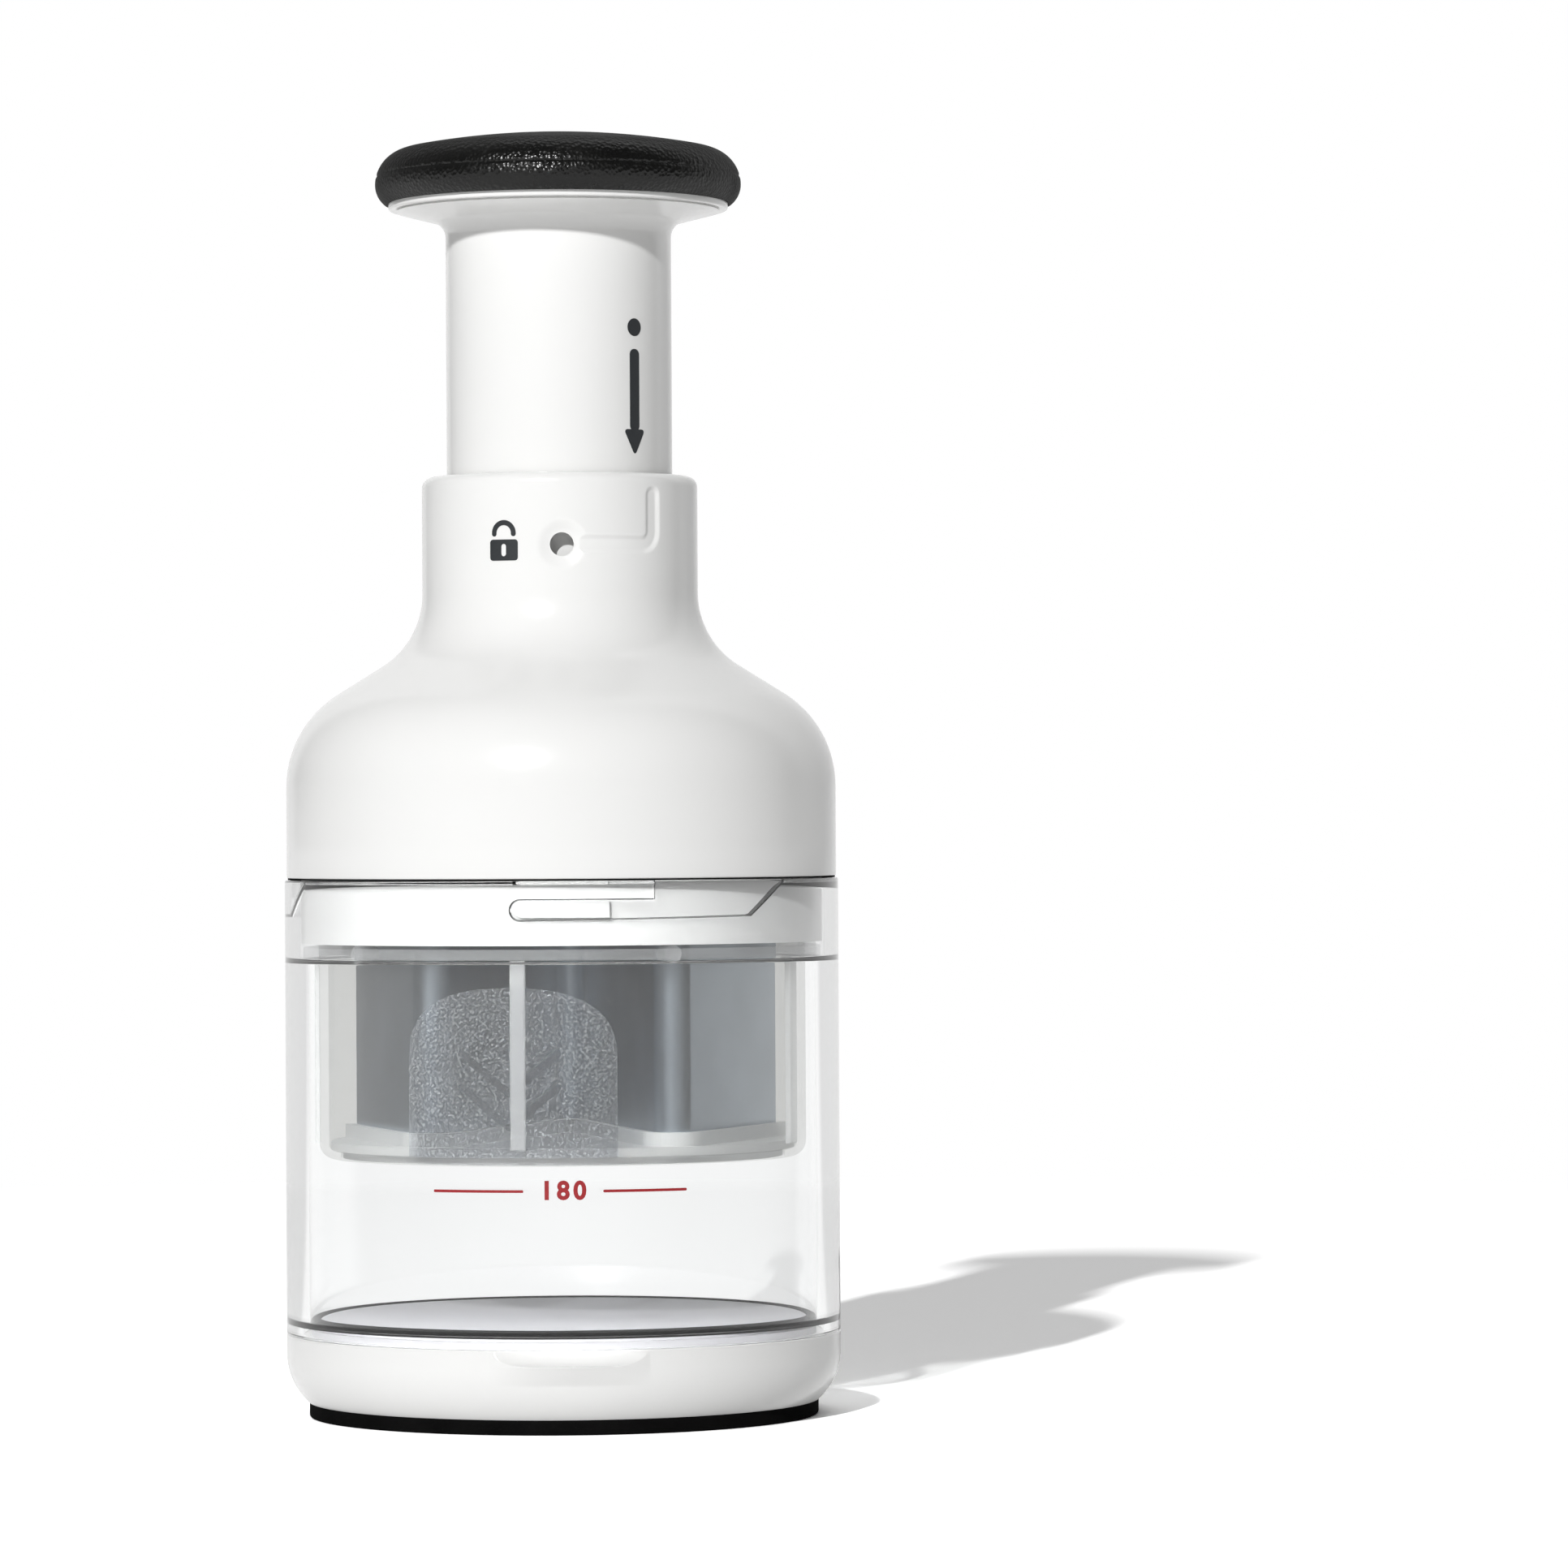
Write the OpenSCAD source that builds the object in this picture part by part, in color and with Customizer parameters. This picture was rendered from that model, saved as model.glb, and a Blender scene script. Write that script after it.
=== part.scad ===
// Plunger food chopper: a W-shaped blade is pushed through a turning wiper plate into a clear cup.
// Millimetres, +Z up, origin at the centre of the foot pad's bottom face.

/* [Base] */
// Thickness of the foot pad that shows under the base
foot_h = 2.8; // [2:0.1:4]
// How far the foot pad is set in from the base's side
foot_inset = 4.2; // [3.5:0.1:7]
// Height of the base's rim above the table
base_h = 15.7; // [15:0.1:22]
// Radius of the base's bottom corner
base_corner_r = 12; // [9:0.5:12]
// Thickness of the base's bottom plate
base_floor_t = 2.2; // [1.6:0.1:3]
// Gap between the chopping board's raised disc and the cup
board_gap = 1.7; // [0.8:0.1:6]
// Height of the chopping board above the base's rim
board_rise = 3.1; // [2.5:0.1:4]
// Thickness of the chopping board's plate and skirt
board_t = 2.2; // [1.6:0.1:2.4]
// Width of the thumb ledge
ledge_w = 29; // [24:0.5:32]
// How far the thumb ledge stands out
ledge_out = 1.6; // [1:0.1:2]
// Distance from the base's rim down to the thumb ledge's edge
ledge_drop = 2.9; // [2.4:0.1:3.4]
// Height of the slope under the thumb ledge
ledge_slope_h = 3.4; // [2.4:0.1:4]
// Depth of the scoop above the thumb ledge
scoop_depth = 1.8; // [1:0.1:2.2]

/* [Cup] */
// Outer diameter of the cup
cup_d = 104; // [103.6:0.2:106]
// Height of the cup
cup_h = 84.9; // [84:0.5:100]
// Thickness of the cup's wall
cup_wall = 4.3; // [4:0.1:4.6]
// Thickness of the cup's wall where the housing plugs in
socket_wall = 2.8; // [2.4:0.1:3]
// Depth of the cup's socket
socket_depth = 15; // [14.6:0.1:17]
// Number of bayonet channels
bayonet_n = 3; // [2:1:3]
// Height of a bayonet lug
lug_h = 3.1; // [2:0.1:3.1]
// Distance from the cup's top down to a lug's top
lug_drop = 3.6; // [3.2:0.1:4.2]
// How far a lug stands out
lug_out = 1.2; // [0.6:0.1:1.4]

/* [Housing] */
// How far the housing's side is set in from the cup's
housing_inset = 0.4; // [0:0.1:1]
// Height of the housing
housing_h = 75.1; // [72:0.1:90]
// Thickness of the housing's shell
shell_wall = 2; // [1.6:0.1:2]
// Height of the straight side below the shoulder
side_h = 17; // [15:0.5:20]
// Radius of the shoulder, as a share of the way from the body's side to the collar
shoulder_share = 0.794; // [0.7:0.002:0.85]
// Radius of the fillet between shoulder and neck, as a share of the same way
neck_share = 0.63; // [0.54:0.002:0.66]
// Slope of the shoulder below the neck, in degrees
shoulder_slope = 32; // [28:1:36]
// Outer diameter of the collar
collar_d = 51.8; // [51.8:0.2:54]
// Radius of the collar's top edge
collar_edge_r = 2; // [1:0.1:2]
// Height of the window in the collar below its top
window_drop = 13.3; // [12.5:0.1:16]
// Diameter of the window
window_d = 4.5; // [3:0.1:5]
// Diameter of the dish round the window
dish_d = 9.2; // [8:0.1:11]
// Depth of the dish
dish_depth = 0.8; // [0.4:0.1:1]
// Width of the L-shaped groove
groove_w = 2.9; // [2:0.1:3.2]
// Depth of the L-shaped groove
groove_depth = 0.5; // [0.3:0.1:0.8]
// Distance from the collar's top to the groove's start
groove_drop = 2.6; // [2:0.1:4]
// Height of the ring that plugs into the cup
skirt_h = 12.1; // [11.5:0.1:12.4]
// Height of the ring that plugs into the housing's shell
spigot_h = 6; // [3:0.5:12]
// Thickness of the inner frame's deck
deck_t = 2.2; // [1.6:0.1:3]
// Thickness of the guide tower's wall
tower_wall = 3.7; // [2.7:0.1:4.2]
// Height of the guide tower above the collar's top
tower_rise = 6; // [5:0.1:7]

/* [Blade shield] */
// Gap between the blade shield and the cup
shield_gap = 2; // [1.2:0.1:2.7]
// Thickness of the blade shield's wall
shield_wall = 1.8; // [1.4:0.1:2]
// How far the shield's bottom lies below the blade's edge
shield_drop = 0.7; // [0:0.1:2]
// Thickness of the shield's flange
flange_t = 2.4; // [1.6:0.1:2.4]
// Gap between the shield's flange and the cup's socket
flange_gap = 0.6; // [0.3:0.1:0.8]
// Height of the shield's snap ring above the flange
snap_h = 8.5; // [5:0.5:9.5]
// Width of a rib on the shield
rib_w = 3.5; // [2:0.1:5]
// How far a rib stands out
rib_out = 0.8; // [0.4:0.1:1.2]
// Number of ribs and flange bosses
rib_n = 5; // [3:1:6]
// Radius of a flange boss
boss_r = 2.1; // [1.4:0.1:2.4]
// Width of the arched grip pad
pad_w = 41; // [30:1:44]
// Distance from the grip pad's top to the flange
pad_top_gap = 5.4; // [4:0.1:12]
// How far the grip pad stands out
pad_out = 0.35; // [0.2:0.05:0.6]
// Thickness of the wiper plate
wiper_t = 1.55; // [1.2:0.05:2]
// Height of the collars on the wiper plate
wiper_collar_h = 2.5; // [1.5:0.1:3]

/* [Blade] */
// Thickness of the blade strip
blade_t = 0.6; // [0.5:0.1:0.8]
// Place of the front bends, as a share of the way from the middle to the ends
bend_share = 0.5275; // [0.45:0.0025:0.55]
// Gap across between each end of the strip and the shield
blade_end_gap = 3.9; // [3.6:0.1:8]
// Gap between the front bends' corners and the line of the shield's front
blade_front_gap = 3.3; // [3.2:0.1:6]
// Gap between the back bend's corner and the shield
blade_back_gap = 7.9; // [6:0.1:12]
// Inside radius of the bends
bend_r = 3; // [2.8:0.1:4]
// Turn of the blade at rest, in degrees
blade_turn = -4.7; // [-15:0.1:15]
// Gap between the blade carrier and the shield
carrier_gap = 1.4; // [0.8:0.1:3]
// Distance from the deck down to the blade carrier
carrier_drop = 6; // [5:0.1:7]
// Thickness of the blade carrier
carrier_t = 4.5; // [3.5:0.1:5]
// Diameter of the blade's stem
stem_d = 10; // [9:0.5:10]
// Turn of the blade over one full stroke, in degrees
index_angle = 30; // [15:1:45]

/* [Plunger] */
// Travel of the plunger
stroke = 30.2; // [25:0.1:30.2]
// Gap between the plunger tube and the collar's inside
tube_gap = 2.7; // [2:0.1:3]
// Thickness of the plunger tube's wall
tube_wall = 2.5; // [1.8:0.1:2.6]
// Height from the collar's top to the start of the knob's flare at full press
flare_clear = 14.9; // [14:0.1:30]
// Length of the tube inside the collar
tube_inside = 26; // [20:0.5:30]
// How far the flare's edge is set in from the knob's side
flare_inset = 3.9; // [3.4:0.1:6]
// Radius between tube and flare
flare_r = 3.2; // [2:0.1:4]
// Slope of the flare's underside, in degrees
flare_slope = 17; // [12:1:20]
// Height of the stop ring on the tube
stop_h = 3.4; // [2:0.1:4]
// Height of the guide bush
bush_h = 5; // [3:0.1:5]
// Wire diameter of the return spring
wire_d = 1.6; // [1.2:0.1:2]
// Gap between the return spring and the guide tower's splines
spring_gap = 1.6; // [1:0.1:2.5]
// Number of turns of the return spring
spring_turns = 11; // [8:0.5:13]

/* [Knob] */
// Outer diameter of the knob's cushion
knob_d = 68.8; // [66:0.2:74]
// Radius of the cushion's upper edge
knob_upper_r = 6.8; // [6.5:0.1:7]
// Radius of the cushion's lower edge
knob_lower_r = 4.6; // [4.4:0.1:5]
// Angle at which the upper edge meets the dome, in degrees
knob_dome_angle = 79; // [76:0.5:81]
// Height of the knob's widest line above the flare
knob_belly = 4.7; // [4.5:0.1:6]
// Thickness of the cushion round the rigid core
core_inset = 5.9; // [5.4:0.1:9]
// Height of the rigid core
core_h = 8.7; // [8:0.1:9]
// Thickness of the core's plate and wall
core_t = 2; // [1.6:0.1:3]
// Thickness of the ring that shows under the cushion
core_ring_t = 1.1; // [0.8:0.1:1.4]
// How far the ring that shows under the cushion is set in from the knob's side
core_ring_inset = 2.5; // [2.4:0.1:3.4]

/* [Hidden] */
$fn = 96;
arc_n = 16;

// Clearances and the overrun that every cut shares
slide_gap = 0.3;
seat_gap = 0.1;
bush_gap = 0.2;
overrun = 1;

// Levels, from the table upwards
cup_z = base_h;
cup_top = cup_z + cup_h;
ledge_z = cup_top - socket_depth;
housing_z = cup_top + slide_gap;
housing_top = housing_z + housing_h;
board_top = base_h + board_rise;
skirt_z = housing_z - skirt_h;
deck_gap = 0.6;
deck_z = housing_z + deck_gap;
deck_top = deck_z + deck_t;
tower_top = housing_top + tower_rise;
blade_edge_z = board_top + stroke + slide_gap;
flange_z = skirt_z - slide_gap - flange_t;
shield_z = blade_edge_z - shield_drop;
shield_h = flange_z - shield_z;
flare_z = housing_top + stroke + flare_clear;

// Radii
cup_r = cup_d / 2;
cup_in_r = cup_r - cup_wall;
socket_r = cup_r - socket_wall;
housing_r = cup_r - housing_inset;
collar_r = collar_d / 2;
collar_in_r = collar_r - shell_wall;
skirt_r = socket_r - slide_gap;
skirt_wall = 2.3;
skirt_in_r = skirt_r - skirt_wall;
spigot_r = housing_r - shell_wall - seat_gap;
shoulder_r = shoulder_share * (housing_r - collar_r);
neck_r = neck_share * (housing_r - collar_r);
tube_r = collar_in_r - tube_gap;
tube_in_r = tube_r - tube_wall;
stem_r = stem_d / 2;
tower_r = stem_r + slide_gap + tower_wall;
shield_r = cup_in_r - shield_gap;
shield_in_r = shield_r - shield_wall;
flange_r = socket_r - flange_gap;
foot_r = cup_r - foot_inset;
board_r = cup_in_r - board_gap;
knob_r = knob_d / 2;
core_r = knob_r - core_inset;

// Foot pad: a tongue on top sits in a groove of the base's shell
tongue_h = 1.2;
tongue_w = 4;
tongue_inset = 2.5;
tongue_r = foot_r - tongue_inset;

// Base's shell: the wall that carries the cup, and the plug that centres it
base_wall = 5.2;
plug_h = 1.2;
base_in_r = cup_r - base_wall;

// Bayonet, in degrees round the cup: the channel's closed end, the entry and its slanted wall
lug_start = -11.2;
lug_end = 8.9;
lug_clear_angle = 0.9;
entry_start = 18;
entry_end = 41.3;
entry_top_end = 54;
ramp_rise = 0.6;
lug_under_gap = 0.7;
lug_over_gap = 0.35;

// Lock window and groove, in degrees round the collar
groove_angle = 41;
lip_h = 2;
lip_gap = 0.6;

// Guide tower's splines and the carriage that slides on them
spline_n = 3;
spline_w = 3;
spline_out = 1.2;
spring_in_r = tower_r + spline_out + spring_gap;
spring_r = spring_in_r + wire_d / 2;
spring_out_r = spring_in_r + wire_d;
carriage_wall = 1.7;
carriage_flange_t = 2.5;
carriage_plate_t = 3;
plate_over_tower = 0.8;
carriage_flange_drop = 6;
carriage_z = tower_top - carriage_flange_drop;
carriage_plate_z = tower_top + stroke + plate_over_tower;
carriage_top = carriage_plate_z + carriage_plate_t;
carriage_in_r = tower_r + slide_gap;
carriage_sleeve_r = tower_r + spline_out + slide_gap + carriage_wall;
carriage_flange_r = tube_in_r - 2 * slide_gap + seat_gap;

// Bayonet between the tube and the carriage, in degrees
tube_lug_n = 3;
tube_lug_angle = 30;
tube_lug_share = 0.415;
tube_lug_in = tube_lug_share * (tube_in_r - spring_out_r);
tube_lug_h = 2.7;
release_angle = groove_angle;
notch_extra_angle = 4;

// Blade's stem, its neck, washer and screw
neck_pin_r = 3;
neck_pin_rise = 0.4;
washer_t = 0.8;
washer_r = 5.5;
screw_r = 1.5;
screw_head_r = 4.5;
screw_head_h = 2;
screw_l = 14;
screw_gap = 0.05;
washer_hole_gap = 0.2;

// Helical cam: fixed pins in the tower run in two grooves of the stem
cam_pin_r = 1;
cam_pin_in = 0.8;
cam_pin_l = 4.3;
cam_z_above_deck = 8.3;
cam_groove_gap = 0.3;
cam_groove_depth = 1.2;
cam_groove_run_out = 2;
cam_slices = 12;

// Blade and wiper
blade_end_y = 8;
blade_end_x = shield_in_r - blade_end_gap;
bend_x = bend_share * blade_end_x;
bend_front_y = blade_front_gap - shield_in_r;
bend_back_y = shield_in_r - blade_back_gap;
slot_gap = 0.4;
collar_wall = 1.7;
groove_in_carrier = 2.5;
carrier_r = shield_in_r - carrier_gap;
carrier_z = deck_z - carrier_drop - carrier_t;
blade_h = carrier_z + groove_in_carrier - blade_edge_z;
hub_wall = 4;
hub_r = stem_r + hub_wall;
hub_top = deck_z - slide_gap;
stem_socket_depth = 2.5;
lip_t = 1.4;
lip_w = 2.2;
wiper_z = shield_z + lip_t + slide_gap;
wiper_r = shield_in_r - slide_gap - seat_gap;
wiper_boss_r = shield_in_r - lip_w - slide_gap - seat_gap;
shield_corner_r = 3;
snap_wall = 1.6;

// Ribs, bosses and grip pad, in degrees round the shield
rib_angle = -11.5;
boss_angle = 22.6;
boss_out_r = cup_in_r - slide_gap;
pad_angle = -12.3;
pad_arch_share = 0.46;
pad_drop = 2.4;
pad_h = shield_h - pad_drop - pad_top_gap;

// Return spring
spring_washer_t = 0.8;
spring_washer_w = 3.5;
spring_z = deck_top + spring_washer_t;
spring_h = carriage_z - spring_z;
spring_end_gap = 0.5;
spring_sides = 6;
spring_steps = 10;

// Knob's screws, in the plunger tube's web
web_t = 3;
web_gap = 1.3;
web_z = carriage_top + neck_pin_rise + washer_t + screw_head_h + web_gap;
thrust_ring_r = 8.5;
thrust_ring_w = 1.8;
knob_screw_n = 3;
knob_screw_circle_r = (tube_in_r + thrust_ring_r) / 2 - seat_gap;
knob_screw_head_r = 2.8;
knob_screw_head_h = 1.6;
knob_screw_boss_wall_share = 0.67;
knob_screw_boss_r = knob_screw_boss_wall_share * (tube_in_r - knob_screw_circle_r);
knob_screw_bite = 5;

// Flare and knob profile
flare_arc_angle = 90 - flare_slope;
flare_tangent_r = tube_r + flare_r * (1 - cos(flare_arc_angle));
flare_tangent_z = flare_z + flare_r * sin(flare_arc_angle);
flare_edge_r = knob_r - flare_inset;
flare_top = flare_tangent_z + (flare_edge_r - flare_tangent_r) * tan(flare_slope);
belly_z = flare_top + knob_belly;

// Points of an arc in the plane of a profile
function arc(cx, cy, r, from, to, n = arc_n) =
    [for (i = [0:n]) let (a = from + (to - from) * i / n) [cx + r * cos(a), cy + r * sin(a)]];

// Unit vector, and the vector turned a quarter to the left
function unit(v) = v / norm(v);
function left(v) = [-v.y, v.x];

// One rounded bend of a path: the arc that replaces the corner at b between a and c
function bend(a, b, c, r, n = arc_n) =
    let (
        u = unit(a - b),
        w = unit(c - b),
        half = acos(u * w) / 2,
        centre = b + unit(u + w) * r / sin(half),
        from = b + u * r / tan(half) - centre,
        to = b + w * r / tan(half) - centre,
        a0 = atan2(from.y, from.x),
        turn0 = atan2(to.y, to.x) - a0,
        turn = turn0 > 180 ? turn0 - 360 : turn0 < -180 ? turn0 + 360 : turn0
    )
    [for (i = [0:n]) let (t = a0 + turn * i / n) centre + r * [cos(t), sin(t)]];

// Centreline of the W-shaped blade
blade_corners = [[-blade_end_x, blade_end_y], [-bend_x, bend_front_y], [0, bend_back_y],
                 [bend_x, bend_front_y], [blade_end_x, blade_end_y]];
blade_mid_r = bend_r + blade_t / 2;
blade_path = concat(
    [blade_corners[0]],
    [for (i = [1:3]) each bend(blade_corners[i - 1], blade_corners[i], blade_corners[i + 1], blade_mid_r)],
    [blade_corners[4]]);

// Outline of a band that follows the blade, at a distance to each side and past each end
function band(path, side, past) =
    let (
        n = len(path) - 1,
        dirs = [for (i = [0:n]) unit(path[min(i + 1, n)] - path[max(i - 1, 0)])],
        line = [for (i = [0:n]) path[i] + (i == 0 ? -past : i == n ? past : 0) * dirs[i]]
    )
    concat([for (i = [0:n]) line[i] + side * left(dirs[i])],
           [for (i = [n:-1:0]) line[i] - side * left(dirs[i])]);

module blade_band(side, past) {
    rotate(blade_turn) polygon(band(blade_path, side, past));
}

module ring(r_out, r_in, h, z = 0) {
    translate([0, 0, z]) difference() {
        cylinder(r = r_out, h = h);
        translate([0, 0, -overrun]) cylinder(r = r_in, h = h + 2 * overrun);
    }
}

// A wedge of a ring, from one angle to another, counted from the front
module ring_sector(r_out, r_in, h, z, from, to) {
    translate([0, 0, z]) rotate(from - 90) rotate_extrude(angle = to - from)
        translate([r_in, 0]) square([r_out - r_in, h]);
}

// What lies between two radii inside an outline drawn on a plane that faces one direction
module wrapped(r_out, r_in, h, z, angle) {
    intersection() {
        ring(r_out, r_in, h, z);
        rotate(angle) rotate([90, 0, 0]) linear_extrude(height = r_out + overrun) children();
    }
}

module foot_pad() {
    color("#151515") {
        cylinder(r = foot_r, h = foot_h);
        ring(tongue_r, tongue_r - tongue_w, tongue_h, foot_h);
    }
}

module base_shell() {
    corner_z = foot_h + base_corner_r * cos(asin(1 - (cup_r - foot_r - seat_gap) / base_corner_r));
    floor_z = foot_h + base_floor_t;
    color("#f2f2f0") difference() {
        union() {
            rotate_extrude() polygon(concat(
                [[0, foot_h]],
                arc(cup_r - base_corner_r, corner_z, base_corner_r,
                    -acos(1 - (cup_r - foot_r - seat_gap) / base_corner_r), 0),
                [[cup_r, base_h], [base_in_r, base_h], [base_in_r, floor_z], [0, floor_z]]));
            thumb_ledge();
        }
        ring(tongue_r + seat_gap, tongue_r - tongue_w - seat_gap, tongue_h + seat_gap + overrun,
             foot_h - overrun);
        thumb_scoop();
    }
}

// The ledge that a thumb pushes down on to take the base off: it stands out most at its middle
module thumb_ledge() {
    tip_r = cup_r + ledge_out;
    bulge = tip_r - sqrt(cup_r ^ 2 - (ledge_w / 2) ^ 2);
    bulge_r = (bulge ^ 2 + (ledge_w / 2) ^ 2) / (2 * bulge);
    edge_z = base_h - ledge_drop;
    intersection() {
        translate([0, bulge_r - tip_r, 0]) rotate_extrude() polygon([
            [0, edge_z - ledge_slope_h], [bulge_r - ledge_out - seat_gap, edge_z - ledge_slope_h],
            [bulge_r, edge_z], [bulge_r, base_h], [0, base_h]]);
        ring(tip_r + overrun, cup_r - base_wall / 2, base_h);
    }
}

// The hollow above the ledge, cut into the base's rim
module thumb_scoop() {
    back_y = scoop_depth - cup_r;
    out_y = -cup_r - ledge_out - overrun;
    rotate([90, 0, 90]) linear_extrude(height = ledge_w + 2 * overrun, center = true) polygon(concat(
        [[back_y, base_h + overrun]],
        arc(back_y - ledge_drop, base_h, ledge_drop, 0, -90),
        [[out_y, base_h - ledge_drop], [out_y, base_h + overrun]]));
}

module chopping_board() {
    plug_r = cup_in_r - slide_gap;
    skirt_out_r = base_in_r - seat_gap;
    floor_z = foot_h + base_floor_t;
    edge_r = 0.4 * board_t;
    color("#e9e8e6") rotate_extrude() polygon(concat(
        [[skirt_out_r, floor_z], [skirt_out_r, base_h], [plug_r, base_h], [plug_r, base_h + plug_h],
         [board_r, base_h + plug_h]],
        arc(board_r - edge_r, board_top - edge_r, edge_r, 0, 90),
        [[0, board_top], [0, board_top - board_t], [skirt_out_r - board_t, board_top - board_t],
         [skirt_out_r - board_t, floor_z]]));
}

// Outline of one bayonet channel on a plane that faces its middle
module channel_outline(middle) {
    function at(angle) = socket_r * sin(angle - middle);
    closed = lug_start - lug_clear_angle;
    top = cup_top - lug_drop + lug_over_gap;
    bottom = cup_top - lug_drop - lug_h - lug_under_gap;
    end_r = (top - bottom) / 2;
    polygon(concat(
        arc(at(closed) + end_r, (top + bottom) / 2, end_r, 90, 270, arc_n),
        [[at(entry_end), bottom + ramp_rise], [at(entry_top_end), cup_top + overrun],
         [at(entry_start), cup_top + overrun], [at(entry_start), top]]));
}

module cup() {
    middle = (lug_start + entry_top_end) / 2;
    channel_r = socket_r + lug_out;
    color([0.93, 0.95, 0.96, 0.3]) difference() {
        ring(cup_r, cup_in_r, cup_h, cup_z);
        translate([0, 0, ledge_z]) cylinder(r = socket_r, h = socket_depth + overrun);
        for (i = [0:bayonet_n - 1]) rotate(i * 360 / bayonet_n)
            wrapped(channel_r, socket_r - overrun, socket_depth + overrun, ledge_z, middle)
                channel_outline(middle);
    }
}

// Outer outline of the housing, or the inner one when it is set in by the wall
function housing_side(inset) =
    let (
        slope_a = 90 - shoulder_slope,
        body_r = housing_r,
        arc_z = housing_z + side_h,
        top_r = body_r - shoulder_r + shoulder_r * cos(slope_a),
        top_z = arc_z + shoulder_r * sin(slope_a),
        low_r = collar_r + neck_r * (1 - cos(slope_a)),
        low_z = top_z + (top_r - low_r) * tan(shoulder_slope),
        neck_z = low_z + neck_r * sin(slope_a)
    )
    concat([[body_r - inset, housing_z - (inset > 0 ? overrun : 0)]],
           arc(body_r - shoulder_r, arc_z, shoulder_r - inset, 0, slope_a),
           arc(collar_r + neck_r, neck_z, neck_r + inset, 180 + slope_a, 180));

module housing_shell() {
    window_z = housing_top - window_drop;
    groove_top = housing_top - groove_drop;
    dish_r = ((dish_d / 2) ^ 2 + dish_depth ^ 2) / (2 * dish_depth);
    groove_in_r = collar_r - groove_depth;
    groove_out_r = collar_r + overrun;
    groove_half_angle = asin(groove_w / 2 / collar_r);
    color("#f4f4f3") difference() {
        rotate_extrude() polygon(concat(
            housing_side(0),
            arc(collar_r - collar_edge_r, housing_top - collar_edge_r, collar_edge_r, 0, 90),
            [[tube_r + lip_gap, housing_top], [tube_r + lip_gap, housing_top - lip_h],
             [collar_in_r, housing_top - lip_h]],
            [for (i = [len(housing_side(shell_wall)) - 1:-1:1]) housing_side(shell_wall)[i]],
            [[housing_r - shell_wall, housing_z]]));
        translate([0, -collar_r + overrun + shell_wall, window_z]) rotate([90, 0, 0])
            cylinder(d = window_d, h = shell_wall + 3 * overrun);
        translate([0, -collar_r - dish_r + dish_depth, window_z]) sphere(r = dish_r);
        ring_sector(groove_out_r, groove_in_r, groove_top - window_z + groove_w / 2, window_z - groove_w / 2,
                    groove_angle - groove_half_angle, groove_angle + groove_half_angle);
        ring_sector(groove_out_r, groove_in_r, groove_w, window_z - groove_w / 2, 0, groove_angle);
    }
}

module splines(width, out, z, h) {
    for (i = [0:spline_n - 1]) rotate(i * 360 / spline_n)
        translate([0, -width / 2, z]) cube([out + overrun, width, h]);
}

module cam_pin_places() {
    for (side = [0, 180]) rotate(side) translate([stem_r - cam_pin_in, 0, deck_top + cam_z_above_deck])
        rotate([0, 90, 0]) children();
}

module inner_frame() {
    lug_z = cup_top - lug_drop - lug_h;
    lug_middle = (lug_start + lug_end) / 2;
    lug_half_w = skirt_r * sin(lug_end - lug_middle);
    bore_r = stem_r + slide_gap;
    color("#f0f0ef") difference() {
        union() {
            ring(skirt_r, skirt_in_r, skirt_h, skirt_z);
            ring(spigot_r, skirt_in_r, spigot_h, housing_z);
            ring(skirt_r - skirt_wall / 2, bore_r, deck_t, deck_z);
            ring(tower_r, bore_r, tower_top - deck_z, deck_z);
            intersection() {
                splines(spline_w, tower_r + spline_out, deck_z, tower_top - deck_z);
                ring(tower_r + spline_out, tower_r - overrun, tower_top - deck_z, deck_z);
            }
            for (i = [0:bayonet_n - 1]) rotate(i * 360 / bayonet_n)
                wrapped(skirt_r + lug_out, skirt_r - overrun, lug_h, lug_z, lug_middle)
                    polygon(concat(
                        arc(-lug_half_w + lug_h / 2, lug_z + lug_h / 2, lug_h / 2, 90, 270),
                        [[lug_half_w, lug_z], [lug_half_w, lug_z + lug_h]]));
        }
        cam_pin_places() cylinder(r = cam_pin_r + screw_gap, h = cam_pin_l + cam_pin_in);
    }
}

module cam_pins() {
    color("#b9bcc0") cam_pin_places() cylinder(r = cam_pin_r, h = cam_pin_l);
}

module guide_bush() {
    color("#dcdcda") ring(collar_in_r - seat_gap, tube_r + bush_gap, bush_h, housing_top - lip_h - bush_h);
}

module spring_washer() {
    color("#b9bcc0") ring(spring_r + spring_washer_w / 2, spring_r - spring_washer_w / 2,
                          spring_washer_t, deck_top);
}

// Height of the spring's wire after a number of turns: its two end turns lie almost closed
function spring_rise(turn) =
    let (
        closed = wire_d + spring_end_gap,
        open = (spring_h - wire_d - 2 * closed) / (spring_turns - 2)
    )
    turn < 1 ? closed * turn :
    turn > spring_turns - 1 ? spring_h - wire_d - closed * (spring_turns - turn) :
    closed + open * (turn - 1);

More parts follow.
